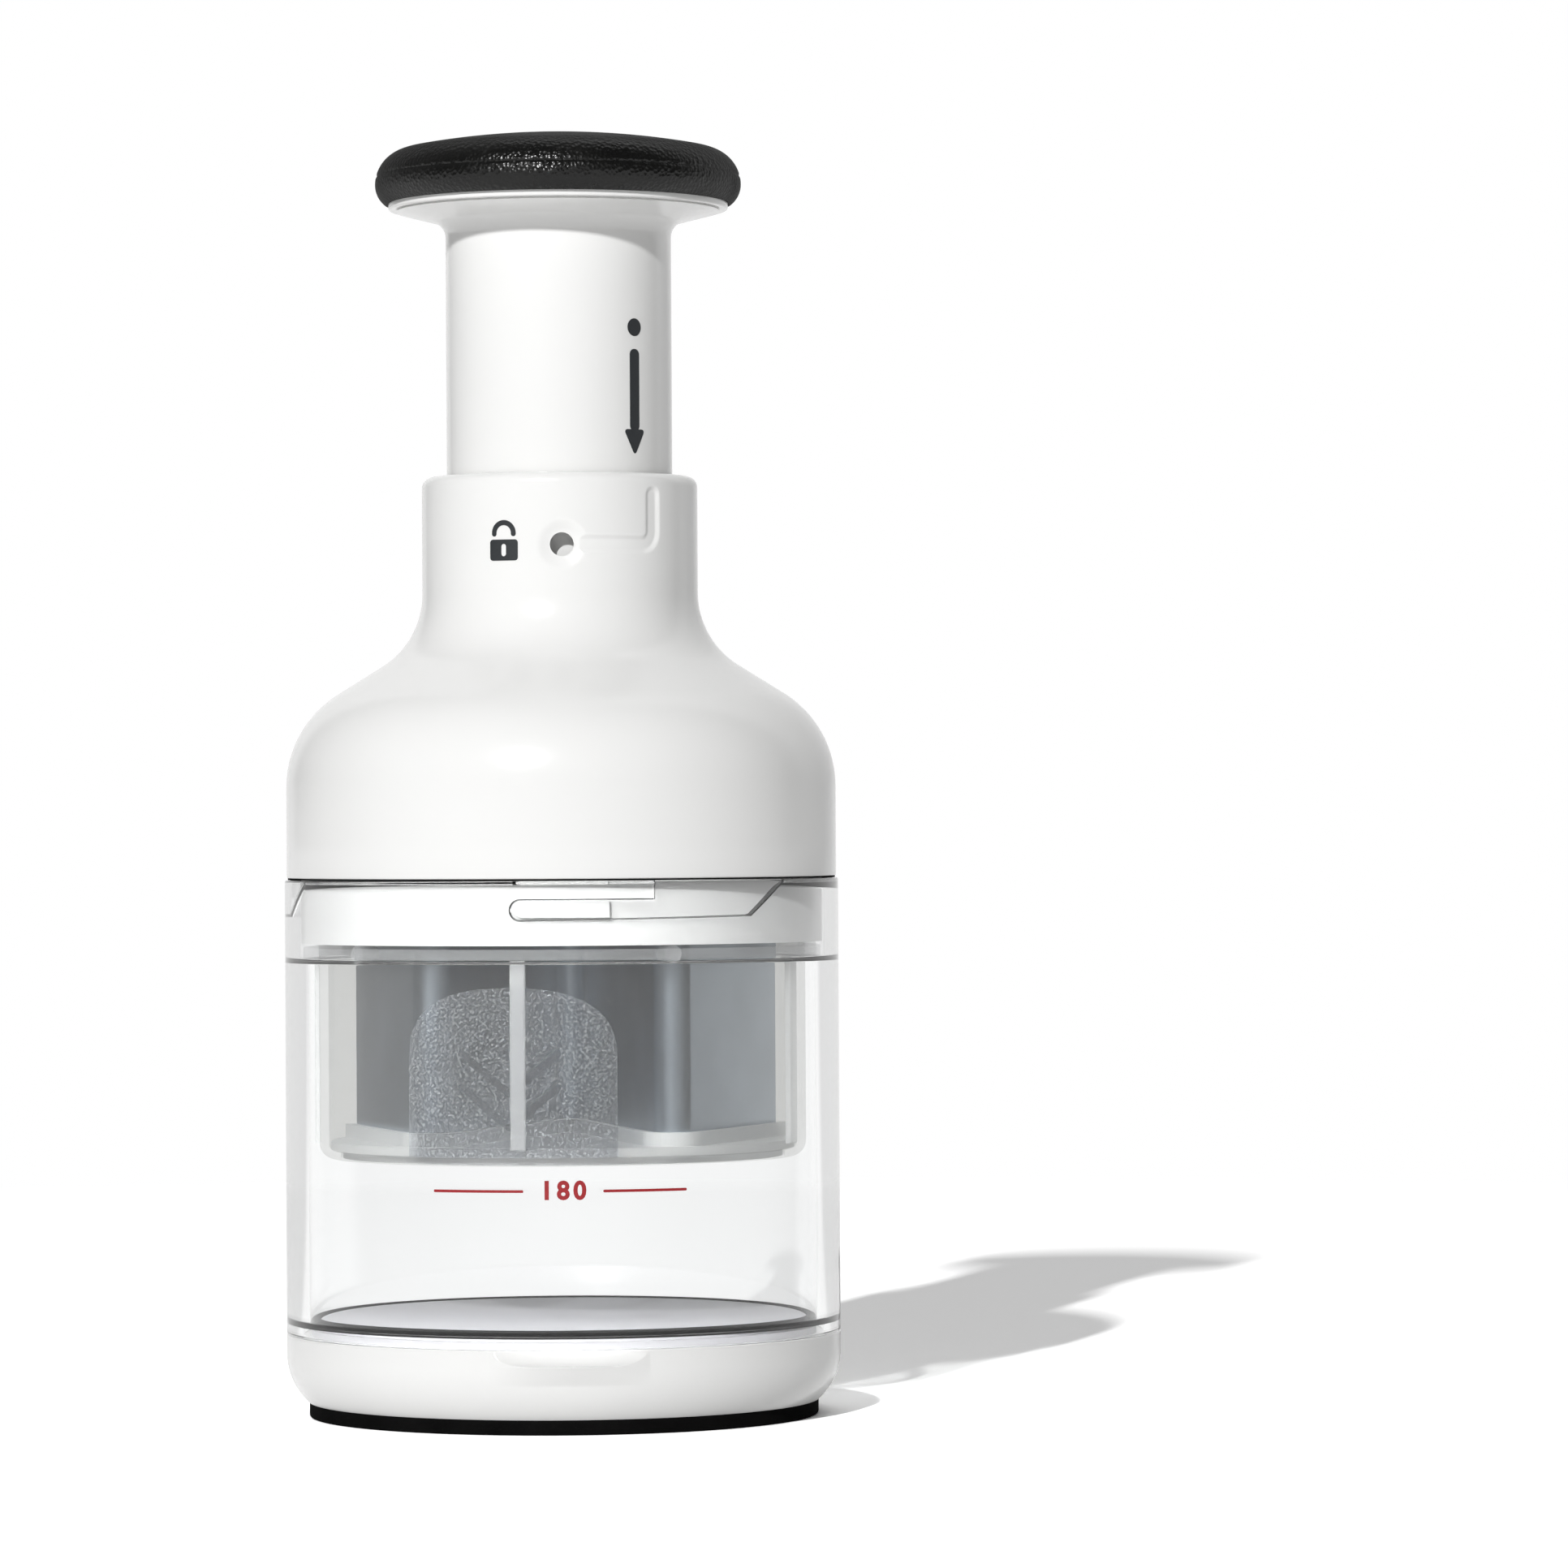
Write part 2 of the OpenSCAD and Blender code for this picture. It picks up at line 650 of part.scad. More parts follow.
module return_spring() {
    rings = spring_turns * spring_steps;
    points = [for (i = [0:rings]) let (turn = i / spring_steps, a = 360 * turn)
              for (k = [0:spring_sides - 1]) let (b = 360 * k / spring_sides)
              [(spring_r + wire_d / 2 * cos(b)) * cos(a), (spring_r + wire_d / 2 * cos(b)) * sin(a),
               spring_z + wire_d / 2 + spring_rise(turn) + wire_d / 2 * sin(b)]];
    sides = [for (i = [0:rings - 1]) for (k = [0:spring_sides - 1])
             let (a = i * spring_sides, b = a + spring_sides, n = (k + 1) % spring_sides)
             each [[a + k, b + n, a + n], [a + k, b + k, b + n]]];
    first = [for (k = [1:spring_sides - 2]) [0, k, k + 1]];
    last = [for (k = [1:spring_sides - 2]) [0, k + 1, k] + rings * spring_sides * [1, 1, 1]];
    color("#a9adb2") polyhedron(points = points, faces = concat(sides, first, last));
}

module shield_profile() {
    snap_r = skirt_in_r - slide_gap;
    snap_top = flange_z + flange_t + snap_h;
    inner_corner_r = max(shield_corner_r - shield_wall, seat_gap);
    polygon(concat(
        [[shield_in_r - lip_w, shield_z]],
        arc(shield_r - shield_corner_r, shield_z + shield_corner_r, shield_corner_r, -90, 0),
        [[shield_r, flange_z], [flange_r, flange_z], [flange_r, flange_z + flange_t],
         [snap_r, flange_z + flange_t], [snap_r, snap_top], [snap_r - snap_wall, snap_top],
         [snap_r - snap_wall, flange_z + flange_t], [shield_in_r, flange_z]],
        [[shield_in_r, shield_z + lip_t + inner_corner_r], [shield_in_r, shield_z + lip_t],
         [shield_in_r - lip_w, shield_z + lip_t]]));
}

// Outline of the grip pad: straight sides under a flat arch
module pad_outline() {
    rise = pad_h * pad_arch_share;
    side_top = shield_z + pad_drop + pad_h - rise;
    polygon(concat(
        [[-pad_w / 2, shield_z + pad_drop], [pad_w / 2, shield_z + pad_drop]],
        [for (i = [0:arc_n]) let (a = 180 * i / arc_n) [pad_w / 2 * cos(a), side_top + rise * sin(a)]]));
}

module blade_shield() {
    color([0.9, 0.91, 0.9, 0.55]) union() {
        rotate_extrude() shield_profile();
        for (i = [0:rib_n - 1]) rotate(i * 360 / rib_n) {
            rotate(rib_angle) intersection() {
                ring(shield_r + rib_out, shield_in_r + seat_gap, shield_h - shield_corner_r,
                     shield_z + shield_corner_r);
                translate([-rib_w / 2, -shield_r - 2 * rib_out, shield_z])
                    cube([rib_w, shield_wall + 3 * rib_out, shield_h]);
            }
            rotate(boss_angle) translate([0, -shield_in_r, flange_z + flange_t - boss_r]) rotate([90, 0, 0])
                cylinder(r = boss_r, h = boss_out_r - shield_in_r);
        }
        wrapped(shield_r + pad_out, shield_in_r + seat_gap, pad_h, shield_z + pad_drop, pad_angle)
            pad_outline();
    }
}

module wiper_plate() {
    slot = blade_t / 2 + slot_gap;
    plate_top = wiper_z + wiper_t;
    boss_z = shield_z + seat_gap;
    color([0.95, 0.95, 0.94, 0.7]) difference() {
        union() {
            translate([0, 0, wiper_z]) cylinder(r = wiper_r, h = wiper_t);
            translate([0, 0, boss_z]) cylinder(r = wiper_boss_r, h = wiper_z - boss_z);
            intersection() {
                translate([0, 0, wiper_z]) linear_extrude(height = wiper_t + wiper_collar_h)
                    blade_band(slot + collar_wall, slot_gap + collar_wall);
                translate([0, 0, wiper_z]) cylinder(r = wiper_r, h = wiper_t + wiper_collar_h);
            }
        }
        translate([0, 0, boss_z - overrun])
            linear_extrude(height = plate_top - boss_z + wiper_collar_h + 2 * overrun)
                blade_band(slot, slot_gap);
    }
}

module plunger_carriage() {
    keyway_r = tower_r + spline_out + slide_gap;
    notch_angle = tube_lug_angle + notch_extra_angle;
    color("#e4e4e2") difference() {
        union() {
            ring(carriage_sleeve_r, carriage_in_r, carriage_plate_z - carriage_z, carriage_z);
            ring(carriage_flange_r, carriage_in_r, carriage_flange_t, carriage_z);
            ring(carriage_sleeve_r, neck_pin_r + slide_gap, carriage_plate_t, carriage_plate_z);
        }
        intersection() {
            splines(spline_w + 2 * slide_gap, keyway_r, carriage_z - overrun,
                    carriage_plate_z - carriage_z + overrun);
            translate([0, 0, carriage_z - overrun])
                cylinder(r = keyway_r, h = carriage_plate_z - carriage_z + overrun);
        }
        for (i = [0:tube_lug_n - 1])
            ring_sector(carriage_flange_r + overrun, carriage_flange_r - tube_lug_in,
                        carriage_flange_t + 2 * overrun, carriage_z - overrun,
                        i * 360 / tube_lug_n - release_angle - notch_angle / 2,
                        i * 360 / tube_lug_n - release_angle + notch_angle / 2);
    }
}

module plunger_tube() {
    tube_z = housing_top - tube_inside;
    stop_top = housing_top - lip_h - bush_h - slide_gap;
    stop_r = collar_in_r - slide_gap - bush_gap;
    thrust_z = carriage_top + bush_gap;
    color("#f4f4f3") difference() {
        union() {
            rotate_extrude() polygon(concat(
                [[tube_in_r, tube_z], [tube_r, tube_z]],
                arc(tube_r + flare_r, flare_z, flare_r, 180, 180 - flare_arc_angle),
                [[flare_edge_r, flare_top], [tube_in_r, flare_top]]));
            ring(stop_r, tube_in_r, stop_h, stop_top - stop_h);
            translate([0, 0, web_z]) cylinder(r = tube_in_r + tube_wall / 2, h = web_t);
            ring(thrust_ring_r, thrust_ring_r - thrust_ring_w, web_z - thrust_z, thrust_z);
            for (i = [0:tube_lug_n - 1])
                ring_sector(tube_in_r + tube_wall / 2, tube_in_r - tube_lug_in + bush_gap, tube_lug_h,
                            carriage_z - slide_gap - tube_lug_h, i * 360 / tube_lug_n - tube_lug_angle / 2,
                            i * 360 / tube_lug_n + tube_lug_angle / 2);
        }
        knob_screw_places() translate([0, 0, web_z - overrun])
            cylinder(r = screw_r + washer_hole_gap, h = web_t + 2 * overrun);
    }
}

module knob_screw_places() {
    for (i = [0:knob_screw_n - 1]) rotate(i * 360 / knob_screw_n)
        translate([knob_screw_circle_r, 0, 0]) children();
}

module knob_core() {
    core_top = flare_top + core_h;
    color("#ececea") difference() {
        union() {
            ring(knob_r - core_ring_inset, core_r - core_t, core_ring_t, flare_top);
            ring(core_r, core_r - core_t, core_h, flare_top);
            translate([0, 0, core_top - core_t]) cylinder(r = core_r, h = core_t);
            knob_screw_places() translate([0, 0, web_z + web_t])
                cylinder(r = knob_screw_boss_r, h = core_top - web_z - web_t - core_t / 2);
        }
        knob_screw_places() translate([0, 0, web_z])
            cylinder(r = screw_r + screw_gap, h = web_t + knob_screw_bite + overrun);
    }
}

module knob_screws() {
    color("#b9bcc0") knob_screw_places() {
        translate([0, 0, web_z]) cylinder(r = screw_r, h = web_t + knob_screw_bite);
        translate([0, 0, web_z - knob_screw_head_h]) cylinder(r = knob_screw_head_r, h = knob_screw_head_h);
    }
}

module knob_cushion() {
    core_top = flare_top + core_h + seat_gap;
    upper_r = knob_r - knob_upper_r;
    dome_r = upper_r / cos(knob_dome_angle) + knob_upper_r;
    dome_z = belly_z - upper_r * tan(knob_dome_angle);
    ring_top = flare_top + core_ring_t;
    bottom_angle = asin((ring_top - belly_z) / knob_lower_r);
    cavity_r = core_r + seat_gap;
    color("#1c1c1c") rotate_extrude() polygon(concat(
        [[cavity_r, ring_top]],
        arc(knob_r - knob_lower_r, belly_z, knob_lower_r, bottom_angle, 0),
        arc(upper_r, belly_z, knob_upper_r, 0, knob_dome_angle),
        arc(0, dome_z, dome_r, knob_dome_angle, 90),
        [[0, core_top], [cavity_r, core_top]]));
}

module blade_stem() {
    stem_z = carrier_z + carrier_t - stem_socket_depth;
    shoulder_z = carriage_plate_z - slide_gap;
    neck_top = carriage_top + neck_pin_rise;
    groove_z = deck_top + cam_z_above_deck - cam_groove_run_out;
    groove_h = stroke + 2 * cam_groove_run_out;
    groove_w = 2 * (cam_pin_r + cam_groove_gap);
    turn_rate = index_angle / stroke;
    color("#e4e4e2") difference() {
        union() {
            translate([0, 0, stem_z]) cylinder(r = stem_r, h = shoulder_z - stem_z);
            translate([0, 0, shoulder_z]) cylinder(r = neck_pin_r, h = neck_top - shoulder_z);
        }
        translate([0, 0, neck_top - screw_l]) cylinder(r = screw_r + screw_gap, h = screw_l + overrun);
        translate([0, 0, groove_z]) rotate(-turn_rate * cam_groove_run_out)
            linear_extrude(height = groove_h, twist = -turn_rate * groove_h, slices = cam_slices)
                for (side = [0, 180]) rotate(side) translate([stem_r - cam_groove_depth, -groove_w / 2])
                    square([cam_groove_depth + overrun, groove_w]);
    }
}

module thrust_washer() {
    color("#b9bcc0") ring(washer_r, screw_r + washer_hole_gap, washer_t, carriage_top + neck_pin_rise);
}

module stem_screw() {
    neck_top = carriage_top + neck_pin_rise;
    head_z = neck_top + washer_t;
    color("#b9bcc0") {
        translate([0, 0, neck_top - screw_l + overrun])
            cylinder(r = screw_r, h = screw_l - overrun + washer_t);
        translate([0, 0, head_z]) cylinder(r = screw_head_r, h = screw_head_h);
    }
}

module blade_carrier() {
    carrier_top = carrier_z + carrier_t;
    color("#f0f0ef") difference() {
        union() {
            translate([0, 0, carrier_z]) cylinder(r = carrier_r, h = carrier_t);
            translate([0, 0, carrier_top]) cylinder(r = hub_r, h = hub_top - carrier_top);
        }
        translate([0, 0, carrier_top - stem_socket_depth])
            cylinder(r = stem_r + screw_gap, h = hub_top - carrier_top + stem_socket_depth + overrun);
        translate([0, 0, carrier_z - overrun]) linear_extrude(height = groove_in_carrier + overrun)
            blade_band(blade_t / 2 + seat_gap, seat_gap);
    }
}

module blade_strip() {
    color("#8f969e") translate([0, 0, blade_edge_z]) linear_extrude(height = blade_h)
        blade_band(blade_t / 2, 0);
}

foot_pad();
base_shell();
chopping_board();
cup();
housing_shell();
inner_frame();
cam_pins();
guide_bush();
spring_washer();
return_spring();
blade_shield();
wiper_plate();
plunger_carriage();
plunger_tube();
knob_core();
knob_screws();
knob_cushion();
blade_stem();
thrust_washer();
stem_screw();
blade_carrier();
blade_strip();
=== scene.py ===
"""Looks of a press-down food chopper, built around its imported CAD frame.

Each sub-assembly of the chopper is a class: the base, the cup, the housing, the return spring,
the blade shield, the blade and the knob. Its sizes are dataclass fields in millimetres and
degrees, and those of a finish are in metres. Angles round the chopper count from the front, -Y,
towards +X. A piece is drawn with bmesh operators in millimetres and kept in metres, in the row
frame, riding on the CAD body that it belongs to.
"""

import logging
import math
from dataclasses import dataclass
from enum import Enum
from typing import Iterable, Sequence

import bmesh
import bpy
from mathutils import Matrix, Vector

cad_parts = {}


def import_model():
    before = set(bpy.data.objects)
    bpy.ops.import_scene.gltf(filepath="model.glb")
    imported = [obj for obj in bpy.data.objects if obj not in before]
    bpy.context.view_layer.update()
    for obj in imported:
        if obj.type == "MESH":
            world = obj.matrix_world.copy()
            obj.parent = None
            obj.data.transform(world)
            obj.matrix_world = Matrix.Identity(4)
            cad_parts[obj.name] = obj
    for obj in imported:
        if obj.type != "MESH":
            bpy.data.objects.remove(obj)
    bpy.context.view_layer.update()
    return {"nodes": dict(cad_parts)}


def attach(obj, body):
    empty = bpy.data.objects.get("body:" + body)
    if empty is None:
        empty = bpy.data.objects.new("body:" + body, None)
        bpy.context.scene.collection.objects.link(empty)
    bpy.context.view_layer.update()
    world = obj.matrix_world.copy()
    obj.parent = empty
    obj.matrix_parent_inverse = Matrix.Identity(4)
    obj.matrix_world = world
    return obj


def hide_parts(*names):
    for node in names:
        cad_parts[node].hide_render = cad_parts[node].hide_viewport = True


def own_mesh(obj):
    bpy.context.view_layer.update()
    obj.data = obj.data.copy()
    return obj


LOG = logging.getLogger("food_chopper")
METRE = 0.001
QUARTER_DEG = 90.0
HALF_TURN_DEG = 180.0
FULL_TURN_DEG = 360.0
FRONT_DEG = -QUARTER_DEG
ORIGIN = (0.0, 0.0, 0.0)
UP = (0.0, 0.0, 1.0)
WHITE = (1.0, 1.0, 1.0, 1.0)
SIDES = (-1.0, 1.0)
# Fineness of the meshes: steps of a full turn, of a rounding and of a small edge.
TURN_STEPS = 192
STEP_DEG = 7.5
CIRCLE_SIDES = 32
CORNER_STEPS = 8
EDGE_STEPS = 4
# The bend from which an edge is shaded sharp, and from which it is the rim of a thickened shape.
SHARP_DEG = 32.0
RIM_ANGLE_DEG = 60.0
# Points closer than this are one point.
WELD = 1e-5
# How deep an added shape sits in the wall that carries it.
BITE = 0.05
# A print: its thickness, the share of it where two prints cross, its gap and its bent strips.
INK_T = 0.05
INK_OVERLAP = 0.96
INK_GAP = 0.01
INK_STRIP = 0.5
# Round profile of a bevel, and the share of half a side that a corner may take.
ROUND_PROFILE = 0.5
WIDEST_ROUND = 0.999
# The middle range of a noise, and the colour sockets of the mixing node.
NOISE_LOW = 0.3
NOISE_HIGH = 0.7
MIX_FIRST, MIX_SECOND, MIX_RESULT = 6, 7, 2


def arc_steps(angle_deg: float) -> int:
    """Returns how many steps an arc of that angle takes."""
    return max(2, math.ceil(abs(angle_deg) / STEP_DEG))


def grey(level: float) -> tuple[float, float, float, float]:
    """Returns a grey of that level."""
    return (level, level, level, 1.0)


def smooth_step(start: float, end: float, value: float) -> float:
    """Returns 0 before start, 1 after end and a smooth rise between them."""
    share = min(1.0, max(0.0, (value - start) / (end - start)))
    return share * share * (3.0 - 2.0 * share)


def turned(angle_deg: float, axis: str, size: int = 4) -> Matrix:
    """Returns the matrix, of 3 or 4 rows, of a turn about an axis through the origin."""
    return Matrix.Rotation(math.radians(angle_deg), size, axis)


def evenly_round(count: int, first_deg: float = 0.0) -> list[float]:
    """Returns the bearings of things that stand evenly round the Z axis."""
    return [first_deg + FULL_TURN_DEG * index / count for index in range(count)]


def verts_in(parts: Iterable[object]) -> list[bmesh.types.BMVert]:
    """Returns the vertices among the parts of a mesh."""
    return [part for part in parts if isinstance(part, bmesh.types.BMVert)]


def edges_in(parts: Iterable[object]) -> list[bmesh.types.BMEdge]:
    """Returns the edges among the parts of a mesh."""
    return [part for part in parts if isinstance(part, bmesh.types.BMEdge)]


def all_in(bm: bmesh.types.BMesh) -> list[object]:
    """Returns every vertex, edge and face of a mesh."""
    return bm.verts[:] + bm.edges[:] + bm.faces[:]


def move_to_radius(vert: bmesh.types.BMVert, radius: float) -> None:
    """Moves a vertex level in or out, to a distance from the Z axis."""
    factor = radius / math.hypot(vert.co.x, vert.co.y)
    vert.co.x *= factor
    vert.co.y *= factor


def radial_pin(radius: float, length: float, angle_deg: float, reach: float, height: float,
               sides: int) -> bmesh.types.BMesh:
    """Draws a round pin that points away from the Z axis.

    Args:
        radius: The pin's own radius.
        length: Its length.
        angle_deg: Its bearing from the front.
        reach: Distance of its middle from the Z axis.
        height: Height of its middle.
        sides: Number of its sides.

    Returns:
        The closed mesh.
    """
    bm = bmesh.new()
    place = turned(angle_deg, "Z") @ Matrix.Translation((0.0, -reach, height))
    bmesh.ops.create_cone(bm, cap_ends=True, segments=sides, radius1=radius, radius2=radius,
                          depth=length, matrix=place @ turned(QUARTER_DEG, "X"))
    return bm


class Section:
    """Half of a section, drawn with a pen in the XZ plane, to be spun about the Z axis."""

    def __init__(self, radius: float, height: float) -> None:
        """Puts the pen down.

        Args:
            radius: Distance from the Z axis.
            height: Height above the table.
        """
        self.bm = bmesh.new()
        self.tip = self.bm.verts.new((radius, 0.0, height))
        self.first = self.tip

    def line(self, radius: float, height: float, steps: int = 1) -> "Section":
        """Draws a straight line to a point.

        Args:
            radius: Distance of the point from the Z axis.
            height: Height of the point.
            steps: Number of equal stretches.

        Returns:
            The section itself.
        """
        start, end = self.tip.co.copy(), Vector((radius, 0.0, height))
        for step in range(1, steps + 1):
            self.tip = bmesh.ops.extrude_vert_indiv(self.bm, verts=[self.tip])["verts"][0]
            self.tip.co = start.lerp(end, step / steps)
        return self

    def arc(self, radius: float, height: float, turn_deg: float, steps: int = 0) -> "Section":
        """Draws an arc round a centre, from the pen's place.

        Args:
            radius: Distance of the centre from the Z axis.
            height: Height of the centre.
            turn_deg: Angle of the arc, positive from +X towards +Z.
            steps: Number of stretches, or zero to take it from the angle.

        Returns:
            The section itself.
        """
        made = bmesh.ops.spin(
            self.bm, geom=[self.tip], cent=(radius, 0.0, height), axis=(0.0, -1.0, 0.0),
            angle=math.radians(turn_deg), steps=steps or arc_steps(turn_deg), use_duplicate=False,
        )
        self.tip = verts_in(made["geom_last"])[0]
        return self

    def close(self) -> "Section":
        """Joins the pen's place to the first point."""
        self.bm.edges.new((self.tip, self.first))
        return self

    def turn(self, sectors: Sequence[tuple[float, int]] = ((FULL_TURN_DEG, TURN_STEPS),),
             start_deg: float = 0.0) -> bmesh.types.BMesh:
        """Spins the section once round the Z axis.

        Args:
            sectors: Angle and number of steps of each sector, which sum to a full turn.
            start_deg: Angle from the front at which the first sector starts.

        Returns:
            The closed mesh.
        """
        bmesh.ops.rotate(self.bm, verts=self.bm.verts[:],
                         matrix=turned(start_deg + FRONT_DEG, "Z", 3))
        part = self.bm.verts[:] + self.bm.edges[:]
        for angle_deg, steps in sectors:
            whole = angle_deg >= FULL_TURN_DEG
            part = bmesh.ops.spin(
                self.bm, geom=part, cent=ORIGIN, axis=UP, angle=math.radians(angle_deg),
                steps=steps, use_merge=whole, use_duplicate=False,
            )["geom_last"]
        bmesh.ops.remove_doubles(self.bm, verts=self.bm.verts[:], dist=WELD)
        bmesh.ops.recalc_face_normals(self.bm, faces=self.bm.faces[:])
        return self.bm


class Flat:
    """Flat shapes drawn in the XZ plane, to be bent round the chopper or raised from a face."""

    def __init__(self) -> None:
        """Starts with no shape."""
        self.bm = bmesh.new()

    def polygon(self, points: Iterable[tuple[float, float]]) -> "Flat":
        """Adds a face with corners at these places across and up."""
        self.bm.faces.new([self.bm.verts.new((x, 0.0, z)) for x, z in points])
        return self

    def disc(self, x: float, z: float, radius: float) -> "Flat":
        """Adds a filled circle round a place across and up."""
        bmesh.ops.create_circle(self.bm, cap_ends=True, segments=CIRCLE_SIDES, radius=radius,
                                matrix=Matrix.Translation((x, 0.0, z)) @ turned(QUARTER_DEG, "X"))
        return self

    def soft_polygon(self, points: Iterable[tuple[float, float]], radius: float,
                     steps: int = CORNER_STEPS) -> list[bmesh.types.BMVert]:
        """Adds a face with rounded corners.

        Args:
            points: Where its corners would be, across and up.
            radius: How far from each corner the rounding starts.
            steps: Number of stretches of each rounding.

        Returns:
            Its vertices.
        """
        corners = [self.bm.verts.new((x, 0.0, z)) for x, z in points]
        face = self.bm.faces.new(corners)
        made = bmesh.ops.bevel(self.bm, geom=corners, offset=radius, offset_type="OFFSET",
                               segments=steps, profile=ROUND_PROFILE, affect="VERTICES",
                               material=-1)
        own = set(made["verts"])
        for piece in made["faces"] + ([face] if face.is_valid else []):
            own.update(piece.verts)
        return list(own)

    def rounded(self, x: float, z: float, width: float, height: float, radius: float,
                slant_deg: float = 0.0) -> "Flat":
        """Adds a filled rectangle with rounded corners.

        Args:
            x: Its middle, across.
            z: Its middle, up.
            width: Its width.
            height: Its height.
            radius: Radius of its corners.
            slant_deg: Turn about its middle.

        Returns:
            The shapes.
        """
        across, up = width / 2.0, height / 2.0
        own = self.soft_polygon(((-across, -up), (across, -up), (across, up), (-across, up)),
                                min(radius, WIDEST_ROUND * min(across, up)))
        bmesh.ops.rotate(self.bm, verts=own, matrix=turned(slant_deg, "Y", 3))
        bmesh.ops.translate(self.bm, verts=own, vec=(x, 0.0, z))
        return self

    def outlined(self, width: float, top: float) -> "Flat":
        """Keeps only a line of that width along the shapes' edges, up to a height."""
        inner = self.bm.faces[:]
        bmesh.ops.inset_region(self.bm, faces=inner, use_boundary=True, use_even_offset=True,
                               thickness=width)
        bmesh.ops.delete(self.bm, geom=inner, context="FACES")
        bmesh.ops.bisect_plane(self.bm, geom=all_in(self.bm), plane_co=(0.0, 0.0, top), plane_no=UP,
                               clear_outer=True, dist=WELD)
        return self

    def wrapped(self, radius: float, thickness: float, angle_deg: float,
                strip: float = 1.0, round_r: float = 0.0) -> bmesh.types.BMesh:
        """Gives the shapes a thickness and bends them round the Z axis.

        Args:
            radius: Radius of their inner side.
            thickness: Distance between their two sides.
            angle_deg: Angle from the front of the line across which x is zero.
            strip: Width of the strips that the bent shape is made of.
            round_r: Radius of the rounding of the outer side's edges.

        Returns:
            The closed mesh.
        """
        sides = bmesh.ops.extrude_face_region(self.bm, geom=self.bm.faces[:], use_keep_orig=True)
        outer = set(verts_in(sides["geom"]))
        bmesh.ops.translate(self.bm, verts=list(outer), vec=(0.0, -thickness, 0.0))
        bmesh.ops.recalc_face_normals(self.bm, faces=self.bm.faces[:])
        if round_r:
            rim = [edge for edge in self.bm.edges
                   if outer.issuperset(edge.verts)
                   and edge.calc_face_angle(0.0) > math.radians(RIM_ANGLE_DEG)]
            bmesh.ops.bevel(self.bm, geom=rim, offset=round_r, offset_type="OFFSET",
                            segments=EDGE_STEPS, profile=ROUND_PROFILE, affect="EDGES",
                            material=-1)
        low = min(v.co.x for v in self.bm.verts)
        high = max(v.co.x for v in self.bm.verts)
        for cut in range(math.ceil(low / strip), math.floor(high / strip) + 1):
            bmesh.ops.bisect_plane(self.bm, geom=all_in(self.bm), plane_co=(cut * strip, 0.0, 0.0),
                                   plane_no=(1.0, 0.0, 0.0), dist=WELD)
        for vert in self.bm.verts:
            reach = radius - vert.co.y
            turn = math.radians(angle_deg) + vert.co.x / (radius + thickness)
            vert.co = Vector((reach * math.sin(turn), -reach * math.cos(turn), vert.co.z))
        bmesh.ops.recalc_face_normals(self.bm, faces=self.bm.faces[:])
        return self.bm


